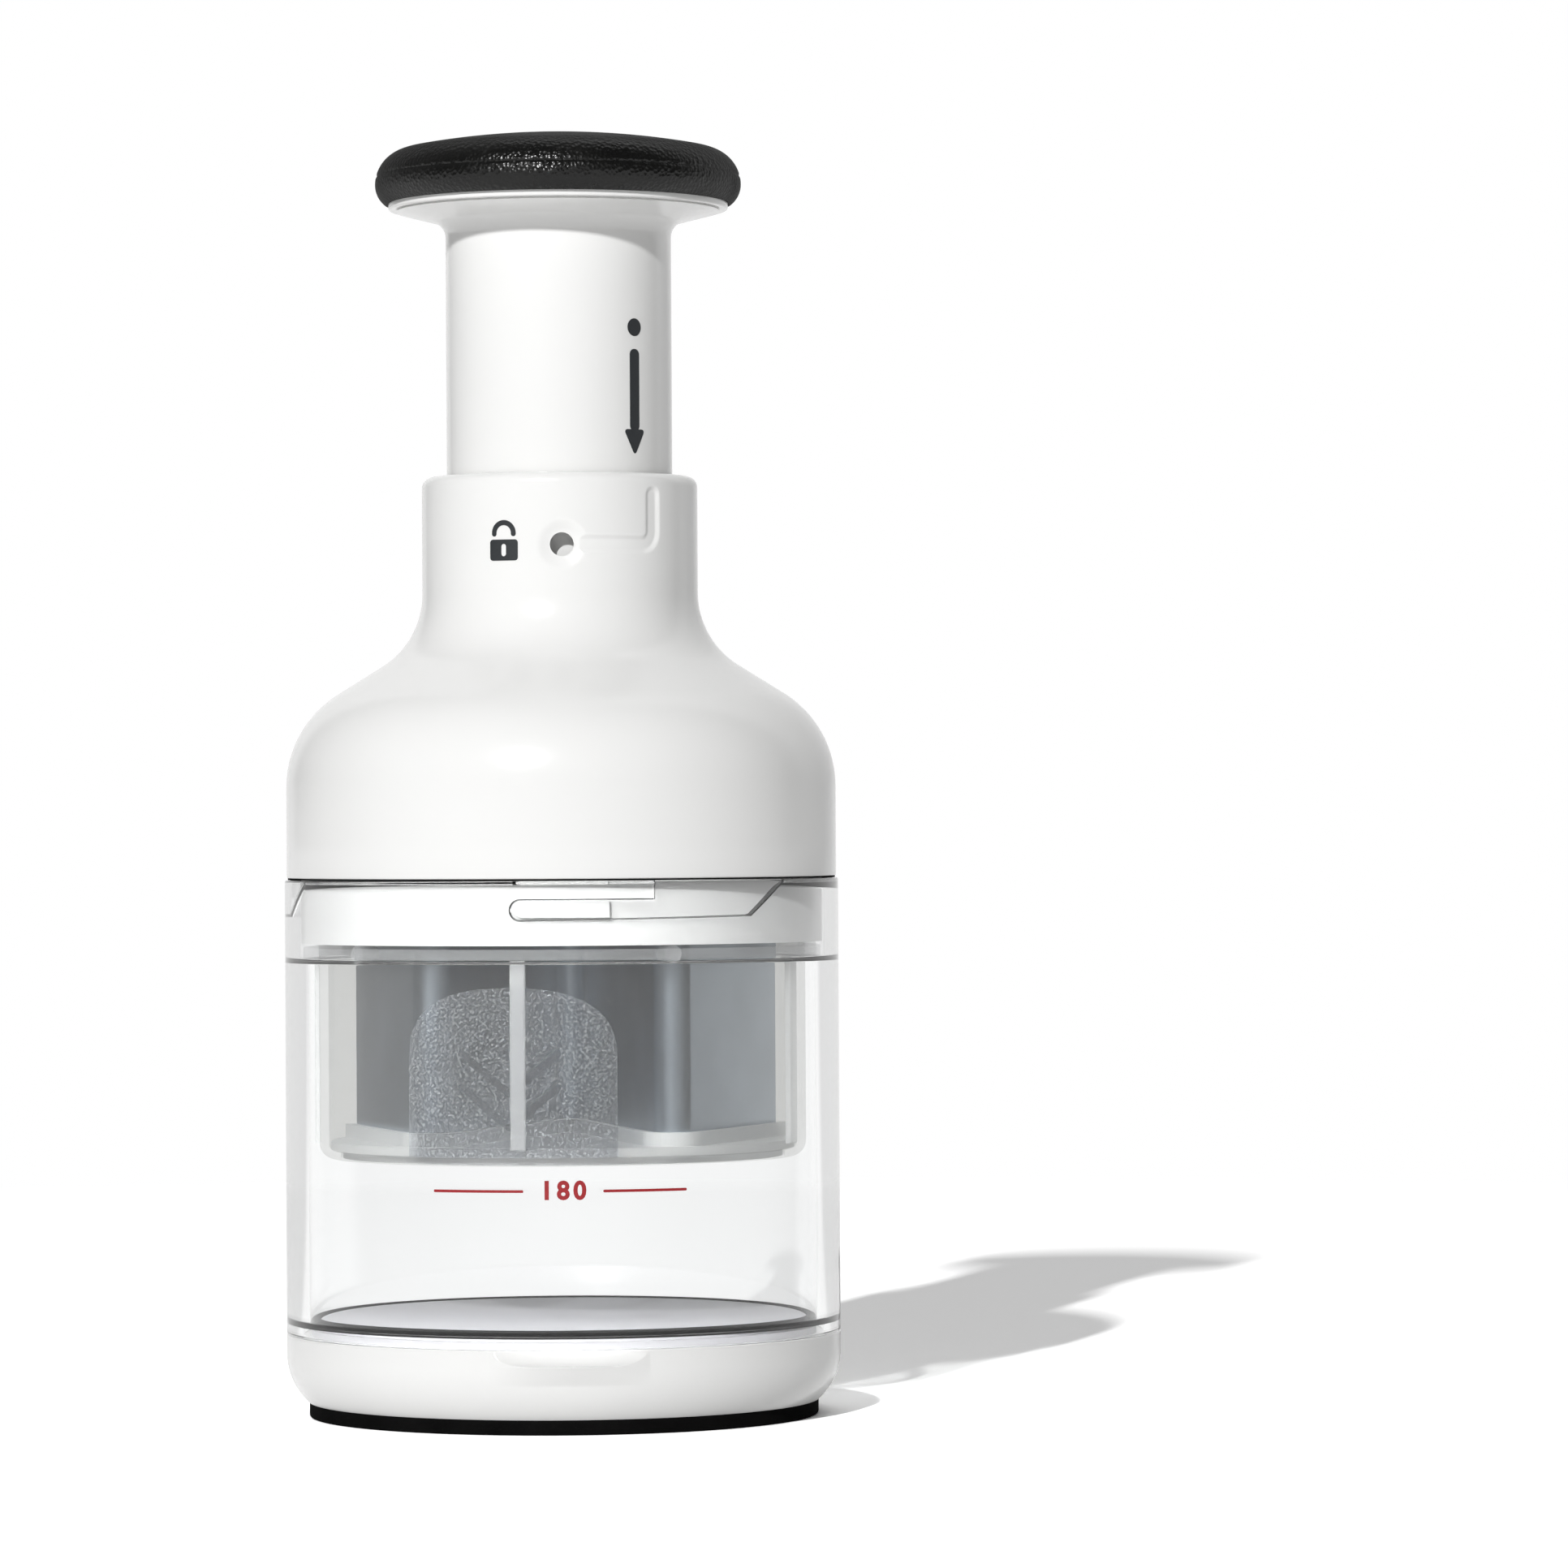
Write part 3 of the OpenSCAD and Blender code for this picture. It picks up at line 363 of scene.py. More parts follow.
class NodeBench:
    """Adds and joins the nodes of one material or world."""

    def __init__(self, owner: bpy.types.Material | bpy.types.World,
                 output: str = "ShaderNodeOutputMaterial") -> None:
        """Empties the owner's node tree and gives it an output."""
        self.owner = owner
        owner.use_nodes = True
        self.tree = owner.node_tree
        self.tree.nodes.clear()
        self.output = self.tree.nodes.new(output)

    @classmethod
    def material(cls, name: str) -> "NodeBench":
        """Starts a new material with that name."""
        return cls(bpy.data.materials.new(name))

    def add(self, kind: str, inputs: dict[str | int, object] | None = None,
            **settings: object) -> bpy.types.Node:
        """Adds a node.

        Args:
            kind: The node's type.
            inputs: Values for its sockets, or sockets to join them to.
            settings: Values for its own settings.

        Returns:
            The node.
        """
        node = self.tree.nodes.new(kind)
        for name, value in settings.items():
            setattr(node, name, value)
        for name, value in (inputs or {}).items():
            if isinstance(value, bpy.types.NodeSocket):
                self.tree.links.new(value, node.inputs[name])
            else:
                node.inputs[name].default_value = value
        return node

    def place(self) -> bpy.types.NodeSocket:
        """Returns the socket of the object's coordinates."""
        return self.add("ShaderNodeTexCoord").outputs["Object"]

    def noise(self, scale: float, detail: float = 2.0,
              stretch: tuple[float, float, float] | None = None) -> bpy.types.NodeSocket:
        """Adds a noise on the object's coordinates.

        Args:
            scale: Waves in a metre.
            detail: How many finer waves it holds.
            stretch: Factor along each axis, for a brushed look.

        Returns:
            The socket of the noise's value.
        """
        where = self.place()
        if stretch:
            where = self.add("ShaderNodeMapping", {
                "Vector": where, "Scale": stretch,
            }).outputs["Vector"]
        return self.add("ShaderNodeTexNoise", {
            "Vector": where, "Scale": scale, "Detail": detail,
        }).outputs["Fac"]

    def maths(self, operation: str, first: object, second: object,
              clamp: bool = False) -> bpy.types.NodeSocket:
        """Joins two values by a mathematical operation.

        Args:
            operation: The operation's name.
            first: The first value, or its socket.
            second: The second value, or its socket.
            clamp: Whether the result is kept between 0 and 1.

        Returns:
            The socket of the result.
        """
        return self.add("ShaderNodeMath", {0: first, 1: second}, operation=operation,
                        use_clamp=clamp).outputs["Value"]

    def remap(self, value: bpy.types.NodeSocket, source: tuple[float, float],
              target: tuple[float, float] = (0.0, 1.0)) -> bpy.types.NodeSocket:
        """Maps one range of a value to another.

        Args:
            value: The value's socket.
            source: Ends of the value's range.
            target: What the value becomes at those ends, and past them.

        Returns:
            The socket of the mapped value.
        """
        return self.add("ShaderNodeMapRange", {
            "Value": value, "From Min": source[0], "From Max": source[1],
            "To Min": target[0], "To Max": target[1],
        }).outputs["Result"]

    def around(self, value: bpy.types.NodeSocket, middle: float,
               spread: float) -> bpy.types.NodeSocket:
        """Maps a noise's middle range to a spread on both sides of a middle."""
        return self.remap(value, (NOISE_LOW, NOISE_HIGH), (middle - spread, middle + spread))

    def tint(self, value: bpy.types.NodeSocket, dark: Sequence[float],
             light: Sequence[float]) -> bpy.types.NodeSocket:
        """Mixes two colours by a noise."""
        return self.blend(self.remap(value, (NOISE_LOW, NOISE_HIGH)), (*dark, 1.0), (*light, 1.0))

    def bump(self, value: bpy.types.NodeSocket, height: float, strength: float = 1.0,
             under: bpy.types.NodeSocket | None = None) -> bpy.types.NodeSocket:
        """Bends the normal by a value that stands for a height.

        Args:
            value: The value's socket.
            height: The height in metres that a value of 1 stands for.
            strength: How much of the bend is taken.
            under: A normal that is bent already.

        Returns:
            The socket of the bent normal.
        """
        inputs = {"Height": value, "Distance": height, "Strength": strength}
        if under is not None:
            inputs["Normal"] = under
        return self.add("ShaderNodeBump", inputs).outputs["Normal"]

    def seen(self, *kinds: str) -> bpy.types.NodeSocket:
        """Returns 1 for the named kinds of ray, unless they light a matt surface, or else 0."""
        path = self.add("ShaderNodeLightPath").outputs
        value = path[kinds[0]]
        for kind in kinds[1:]:
            value = self.maths("MAXIMUM", value, path[kind])
        return self.maths("SUBTRACT", value, path["Diffuse Depth"], clamp=True)

    def more_than(self, depth: str, count: float) -> bpy.types.NodeSocket:
        """Returns 1 for a ray whose named depth is above a count."""
        return self.maths("GREATER_THAN", self.add("ShaderNodeLightPath").outputs[depth], count)

    def blend(self, share: bpy.types.NodeSocket | float, first: object, second: object,
              kind: str = "MIX") -> bpy.types.NodeSocket:
        """Mixes two colours.

        Args:
            share: How much of the second colour there is.
            first: The first colour, or its socket.
            second: The second colour, or its socket.
            kind: How they are mixed.

        Returns:
            The socket of the mixed colour.
        """
        return self.add("ShaderNodeMix", {
            "Factor": share, MIX_FIRST: first, MIX_SECOND: second,
        }, data_type="RGBA", blend_type=kind).outputs[MIX_RESULT]

    def mixed(self, share: bpy.types.NodeSocket | float, first: bpy.types.NodeSocket,
              second: bpy.types.NodeSocket) -> bpy.types.NodeSocket:
        """Mixes two shaders, where share is how much of the second there is."""
        return self.add("ShaderNodeMixShader", {
            "Fac": share, 1: first, 2: second,
        }).outputs["Shader"]

    def principled(self, inputs: dict[str | int, object]) -> bpy.types.NodeSocket:
        """Adds the main surface shader with these inputs."""
        return self.add("ShaderNodeBsdfPrincipled", inputs).outputs["BSDF"]

    def ramp(self, value: bpy.types.NodeSocket,
             stops: Sequence[tuple[float, float]]) -> bpy.types.NodeSocket:
        """Maps a value from 0 to 1 through stops of place and brightness."""
        node = self.add("ShaderNodeValToRGB", {"Fac": value})
        elements = node.color_ramp.elements
        for element, (place, level) in zip(elements, (stops[0], stops[-1])):
            element.position, element.color = place, grey(level)
        for place, level in stops[1:-1]:
            elements.new(place).color = grey(level)
        return node.outputs["Color"]

    def finish(self, shader: bpy.types.NodeSocket) -> bpy.types.Material | bpy.types.World:
        """Joins the shader to the output and returns the material or world."""
        self.tree.links.new(shader, self.output.inputs["Surface"])
        return self.owner


def shade(colour: Sequence[float], factor: float) -> tuple[float, ...]:
    """Returns a colour made darker or lighter by a factor."""
    return tuple(channel * factor for channel in colour)


@dataclass(frozen=True)
class Plastic:
    """Moulded opaque plastic: its gloss, its faint waviness and its grain."""

    name: str
    colour: tuple[float, float, float]
    roughness: float
    roughness_spread: float = 0.03
    wave_scale: float = 45.0
    wave_height: float = 0.00001
    grain_scale: float = 3000.0
    grain_height: float = 0.000002
    grain_strength: float = 0.15
    tone_spread: float = 0.008
    tone_detail: float = 3.0
    wave_detail: float = 1.0
    wave_strength: float = 0.3

    def material(self) -> bpy.types.Material:
        """Builds the material."""
        bench = NodeBench.material(self.name)
        tone = bench.noise(self.wave_scale, self.tone_detail)
        wave = bench.bump(bench.noise(self.wave_scale, self.wave_detail), self.wave_height,
                          self.wave_strength)
        return bench.finish(bench.principled({
            "Base Color": bench.tint(tone, shade(self.colour, 1.0 - self.tone_spread), self.colour),
            "Roughness": bench.around(tone, self.roughness, self.roughness_spread),
            "Normal": bench.bump(bench.noise(self.grain_scale), self.grain_height,
                                 self.grain_strength, wave),
        }))


@dataclass(frozen=True)
class ClearPlastic:
    """Thick clear plastic that lets the lamps through to what it holds."""

    name: str
    colour: tuple[float, float, float]
    roughness: float
    refraction: float
    lamp_share: float
    wave_scale: float = 45.0
    wave_height: float = 0.00001
    wave_detail: float = 1.0
    wave_strength: float = 0.2

    def material(self) -> bpy.types.Material:
        """Builds the material."""
        bench = NodeBench.material(self.name)
        wave = bench.noise(self.wave_scale, self.wave_detail)
        glass = bench.principled({
            "Base Color": (*self.colour, 1.0), "Roughness": self.roughness, "IOR": self.refraction,
            "Transmission Weight": 1.0,
            "Normal": bench.bump(wave, self.wave_height, self.wave_strength),
        })
        clear = bench.add("ShaderNodeBsdfTransparent", {
            "Color": (*shade(self.colour, self.lamp_share), 1.0),
        }).outputs["BSDF"]
        in_shadow = bench.add("ShaderNodeLightPath").outputs["Is Shadow Ray"]
        return bench.finish(bench.mixed(in_shadow, glass, clear))


@dataclass(frozen=True)
class FrostedPlastic:
    """Thin translucent plastic: milky, and denser where it is seen edge on."""

    name: str
    colour: tuple[float, float, float]
    roughness: float
    density: float
    edge_density: float
    clear_tint: tuple[float, float, float]
    grain_scale: float = 900.0
    grain_height: float = 0.00002
    grain_strength: float = 0.3
    speck_density: float = 0.0
    speck_from: float = 0.6
    lit_through: float = 0.3
    shadow_share: float = 0.3
    grain_detail: float = 3.0
    edge_blend: float = 0.05
    speck_range: float = 0.14

    def material(self) -> bpy.types.Material:
        """Builds the material."""
        bench = NodeBench.material(self.name)
        grain = bench.noise(self.grain_scale, self.grain_detail)
        normal = bench.bump(grain, self.grain_height, self.grain_strength)
        milk = bench.principled({
            "Base Color": (*self.colour, 1.0), "Roughness": self.roughness, "Normal": normal,
        })
        glow = bench.add("ShaderNodeBsdfTranslucent", {"Color": (*self.colour, 1.0)})
        clear = bench.add("ShaderNodeBsdfTransparent", {"Color": (*self.clear_tint, 1.0)})
        edge = bench.add("ShaderNodeLayerWeight", {"Blend": self.edge_blend, "Normal": normal})
        even = bench.remap(edge.outputs["Facing"], (0.0, 1.0), (self.density, self.edge_density))
        specks = bench.remap(grain, (self.speck_from, self.speck_from + self.speck_range),
                             (0.0, self.speck_density))
        in_shadow = bench.add("ShaderNodeLightPath").outputs["Is Shadow Ray"]
        dense = bench.maths("MULTIPLY", bench.maths("ADD", even, specks, clamp=True),
                            bench.remap(in_shadow, (0.0, 1.0), (1.0, self.shadow_share)))
        body = bench.mixed(self.lit_through, milk, glow.outputs["BSDF"])
        return bench.finish(bench.mixed(dense, clear.outputs["BSDF"], body))


@dataclass(frozen=True)
class Rubber:
    """Soft black rubber with a fine leathery grain."""

    name: str
    colour: tuple[float, float, float]
    worn_colour: tuple[float, float, float]
    roughness: float
    grain_scale: float
    grain_height: float
    grain_strength: float
    refraction: float = 1.3
    edge_dullness: float = 0.5
    edge_blend: float = 0.5
    edge_range: tuple[float, float] = (0.25, 0.75)
    wear_scale: float = 90.0
    wear_detail: float = 4.0
    wear_smoother: float = 0.04
    wear_rougher: float = 0.06

    def material(self) -> bpy.types.Material:
        """Builds the material."""
        bench = NodeBench.material(self.name)
        cells = bench.add("ShaderNodeTexVoronoi", {
            "Vector": bench.place(), "Scale": self.grain_scale,
        })
        wear = bench.noise(self.wear_scale, self.wear_detail)
        edge = bench.add("ShaderNodeLayerWeight", {"Blend": self.edge_blend}).outputs["Facing"]
        dull = bench.remap(edge, self.edge_range, (0.0, self.edge_dullness))
        gloss = bench.remap(wear, (NOISE_LOW, NOISE_HIGH), (self.roughness - self.wear_smoother,
                                                            self.roughness + self.wear_rougher))
        return bench.finish(bench.principled({
            "Base Color": bench.tint(wear, self.colour, self.worn_colour),
            "IOR": self.refraction,
            "Roughness": bench.maths("ADD", gloss, dull, clamp=True),
            "Normal": bench.bump(cells.outputs["Distance"], self.grain_height, self.grain_strength),
        }))


@dataclass(frozen=True)
class Steel:
    """Bare steel, brushed along one direction."""

    name: str
    colour: tuple[float, float, float]
    roughness: float
    brush_scale: float
    brush_stretch: tuple[float, float, float]
    brush_height: float = 0.000004
    brush_spread: float = 0.07
    brush_detail: float = 4.0
    brush_strength: float = 0.25
    blotch_scale: float = 70.0
    blotch_detail: float = 3.0
    blotch_shade: float = 0.85

    def material(self) -> bpy.types.Material:
        """Builds the material."""
        bench = NodeBench.material(self.name)
        brush = bench.noise(self.brush_scale, self.brush_detail, self.brush_stretch)
        blotch = bench.noise(self.blotch_scale, self.blotch_detail)
        return bench.finish(bench.principled({
            "Base Color": bench.tint(blotch, shade(self.colour, self.blotch_shade), self.colour),
            "Metallic": 1.0,
            "Roughness": bench.around(brush, self.roughness, self.brush_spread),
            "Normal": bench.bump(brush, self.brush_height, self.brush_strength),
        }))


@dataclass(frozen=True)
class Ink:
    """Printed ink, slightly uneven."""

    name: str
    colour: tuple[float, float, float]
    roughness: float = 0.45
    roughness_spread: float = 0.05
    speckle_scale: float = 2500.0
    speckle_detail: float = 3.0
    speckle_tone: float = 0.1

    def material(self) -> bpy.types.Material:
        """Builds the material."""
        bench = NodeBench.material(self.name)
        speckle = bench.noise(self.speckle_scale, self.speckle_detail)
        return bench.finish(bench.principled({
            "Base Color": bench.tint(speckle, shade(self.colour, 1.0 - self.speckle_tone),
                                     shade(self.colour, 1.0 + self.speckle_tone)),
            "Roughness": bench.around(speckle, self.roughness, self.roughness_spread),
        }))


class Finish(Enum):
    """The finishes of the chopper, and the name of the slot of each."""

    WHITE = "white_plastic"
    INNER = "inner_plastic"
    BEARING = "bearing_plastic"
    BOARD = "board_plastic"
    CLEAR = "clear_plastic"
    SHIELD = "shield_plastic"
    PAD = "shield_plastic_frosted"
    RIB = "shield_plastic_rib"
    RIM = "shield_plastic_rim"
    CHEVRON = "shield_plastic_chevron"
    WIPER = "wiper_plastic"
    KNOB = "knob_rubber"
    FOOT = "foot_rubber"
    BLADE = "blade_steel"
    SCREW = "screw_steel"
    SPRING = "spring_steel"
    GREY_INK = "grey_ink"
    RED_INK = "red_ink"

    def slot(self) -> str | None:
        """Returns the name of the finish's slot, or None for a print, which has none."""
        if self in (Finish.GREY_INK, Finish.RED_INK):
            return None
        of_shield = (Finish.PAD, Finish.RIB, Finish.RIM, Finish.CHEVRON)
        return Finish.SHIELD.value if self in of_shield else self.value


RECIPES: dict[Finish, object] = {
    Finish.WHITE: Plastic("white_plastic", (0.87, 0.87, 0.86), roughness=0.17),
    # White plastic set darker than the housing's white: painted shade offsetting the extra light
    # that reaches it through the clear cup.
    Finish.INNER: Plastic("inner_plastic", (0.67, 0.67, 0.665), roughness=0.38),
    Finish.BEARING: Plastic("bearing_plastic", (0.7, 0.7, 0.69), roughness=0.42),
    # The board is white; its lavender grey here is painted shade, the look of the white board in
    # shade inside the cup.
    Finish.BOARD: Plastic(
        "board_plastic", (0.58, 0.575, 0.6), roughness=0.5, grain_scale=2200.0,
        grain_height=0.00003, grain_strength=0.35,
    ),
    Finish.CLEAR: ClearPlastic(
        "clear_plastic", (0.985, 0.99, 0.99), roughness=0.0, refraction=1.5, lamp_share=0.93,
    ),
    Finish.SHIELD: FrostedPlastic(
        "shield_plastic", (0.88, 0.88, 0.87), roughness=0.2, density=0.022, edge_density=0.4,
        clear_tint=(0.9, 0.9, 0.895), grain_scale=1300.0, speck_density=0.12, speck_from=0.66,
    ),
    Finish.PAD: FrostedPlastic(
        "shield_plastic_frosted", (0.8, 0.82, 0.84), roughness=0.45, density=0.03,
        edge_density=0.7, clear_tint=(0.89, 0.9, 0.92), grain_scale=2300.0,
        grain_height=0.00001, speck_density=0.22, speck_from=0.5,
    ),
    Finish.CHEVRON: FrostedPlastic(
        "shield_plastic_chevron", (0.95, 0.96, 0.97), roughness=0.15, density=0.04,
        edge_density=1.0, clear_tint=(0.86, 0.87, 0.89), grain_height=0.00001,
        grain_strength=0.2,
    ),
    Finish.RIM: FrostedPlastic(
        "shield_plastic_rim", (0.86, 0.87, 0.88), roughness=0.2, density=0.2,
        edge_density=0.6, clear_tint=(0.9, 0.9, 0.9),
    ),
    Finish.RIB: FrostedPlastic(
        "shield_plastic_rib", (0.88, 0.89, 0.9), roughness=0.2, density=0.37,
        edge_density=0.85, clear_tint=(0.95, 0.95, 0.94),
    ),
    Finish.WIPER: FrostedPlastic(
        "wiper_plastic", (0.93, 0.94, 0.94), roughness=0.35, density=0.72,
        edge_density=0.9, clear_tint=(0.95, 0.95, 0.95),
    ),
    Finish.KNOB: Rubber(
        "knob_rubber", (0.002, 0.002, 0.0019), (0.0045, 0.0045, 0.004), roughness=0.26,
        grain_scale=1400.0, grain_height=0.00015, grain_strength=1.0, refraction=1.4,
    ),
    Finish.FOOT: Rubber(
        "foot_rubber", (0.003, 0.003, 0.003), (0.006, 0.006, 0.006), roughness=0.7,
        grain_scale=1500.0, grain_height=0.00008, grain_strength=0.3, refraction=1.08,
    ),
    Finish.BLADE: Steel(
        "blade_steel", (0.48, 0.54, 0.61), roughness=0.3, brush_scale=2400.0,
        brush_stretch=(1.0, 1.0, 0.3), brush_height=0.00000005, brush_spread=0.015,
    ),
    Finish.SCREW: Steel(
        "screw_steel", (0.6, 0.6, 0.6), roughness=0.3, brush_scale=900.0,
        brush_stretch=(1.0, 1.0, 0.1),
    ),
    Finish.SPRING: Steel(
        "spring_steel", (0.55, 0.55, 0.55), roughness=0.28, brush_scale=900.0,
        brush_stretch=(0.1, 0.1, 1.0),
    ),
    Finish.GREY_INK: Ink("grey_ink", (0.017, 0.02, 0.023)),
    Finish.RED_INK: Ink("red_ink", (0.34, 0.01, 0.015)),
}


class Wardrobe:
    """Makes each finish's material once and hands it out."""

    def __init__(self) -> None:
        """Starts with no material made."""
        self.made: dict[Finish, bpy.types.Material] = {}

    def material(self, finish: Finish) -> bpy.types.Material:
        """Returns the finish's material."""
        if finish not in self.made:
            self.made[finish] = RECIPES[finish].material()
        return self.made[finish]


@dataclass(frozen=True)
class Piece:
    """One named solid: the body that it rides on, its finish and the CAD nodes it stands for."""

    name: str
    body: str
    finish: Finish
    replaces: tuple[str, ...] = ()
    sharp_deg: float = SHARP_DEG

    def keep(self, bm: bmesh.types.BMesh, wardrobe: Wardrobe) -> bpy.types.Object:
        """Turns a mesh drawn in millimetres into the piece's object.

        Args:
            bm: The mesh, which is freed.
            wardrobe: Where the finish's material comes from.

        Returns:
            The object.
        """
        bmesh.ops.scale(bm, verts=bm.verts[:], vec=(METRE, METRE, METRE))
        for face in bm.faces:
            face.smooth = True
        sharp = math.radians(self.sharp_deg)
        for edge in bm.edges:
            edge.smooth = len(edge.link_faces) == 2 and edge.calc_face_angle() < sharp
        mesh = bpy.data.meshes.new(self.name)
        bm.to_mesh(mesh)
        bm.free()
        mesh.materials.append(wardrobe.material(self.finish))
        piece = bpy.data.objects.new(self.name, mesh)
        bpy.context.scene.collection.objects.link(piece)
        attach(piece, self.body)
        if self.replaces:
            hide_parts(*self.replaces)
        if self.finish.slot():
            self.finish.slot()
        LOG.info("%s: %d faces on %s", self.name, len(mesh.polygons), self.body)
        return piece


def cut_away(target: bmesh.types.BMesh, cutters: Sequence[bmesh.types.BMesh]) -> bmesh.types.BMesh:
    """Takes solids away from a solid.

    Args:
        target: The solid to cut, which is freed.
        cutters: The solids to take away, which are freed.

    Returns:
        The cut solid.
    """
    scene = bpy.context.scene

    def shown(bm: bmesh.types.BMesh, name: str) -> bpy.types.Object:
        """Returns an object that holds the mesh."""
        mesh = bpy.data.meshes.new(name)
        bm.to_mesh(mesh)
        bm.free()
        holder = bpy.data.objects.new(name, mesh)
        scene.collection.objects.link(holder)
        return holder

    body = shown(target, "cut_target")
    tools = [shown(cutter, "cut_tool") for cutter in cutters]
    for tool in tools:
        step = body.modifiers.new("cut", "BOOLEAN")
        step.operation, step.solver, step.object = "DIFFERENCE", "EXACT", tool
    result = bmesh.new()
    result.from_object(body, bpy.context.evaluated_depsgraph_get())
    for holder in [body, *tools]:
        mesh = holder.data
        bpy.data.objects.remove(holder)
        bpy.data.meshes.remove(mesh)
    return result


def joined(parts: Sequence[bmesh.types.BMesh]) -> bmesh.types.BMesh:
    """Puts several closed shells into one mesh, and frees them."""
    whole = bmesh.new()
    for part in parts:
        mesh = bpy.data.meshes.new("shell")
        part.to_mesh(mesh)
        part.free()
        whole.from_mesh(mesh)
        bpy.data.meshes.remove(mesh)
    return whole


def round_radial_normals(piece: bpy.types.Object, lean: float = 0.05) -> None:
    """Gives the upright round walls of a piece exact radial normals, so that cuts don't dent them.

    Args:
        piece: The piece.
        lean: How far a face's normal may lean from the radial direction.
    """
    mesh = piece.data
    normals = [tuple(corner.vector) for corner in mesh.corner_normals]
    for polygon in mesh.polygons:
        flat = polygon.normal
        for corner in polygon.loop_indices:
            place = mesh.vertices[mesh.loops[corner].vertex_index].co
            radial = Vector((place.x, place.y, 0.0)).normalized()
            if abs(abs(flat.dot(radial)) - 1.0) < lean and abs(flat.z) < lean:
                normals[corner] = tuple(radial if flat.dot(radial) > 0.0 else -radial)
    mesh.normals_split_custom_set(normals)


class Part:
    """A sub-assembly of the chopper, which draws its own pieces."""

    def pieces(self) -> list[tuple[Piece, bmesh.types.BMesh]]:
        """Draws the part's pieces and says what each of them is."""
        raise NotImplementedError

    def build(self, wardrobe: Wardrobe) -> list[bpy.types.Object]:
        """Builds the part's pieces.

        Args:
            wardrobe: Where the finishes come from.

        Returns:
            The objects, in the order of the pieces.
        """
        return [piece.keep(bm, wardrobe) for piece, bm in self.pieces()]


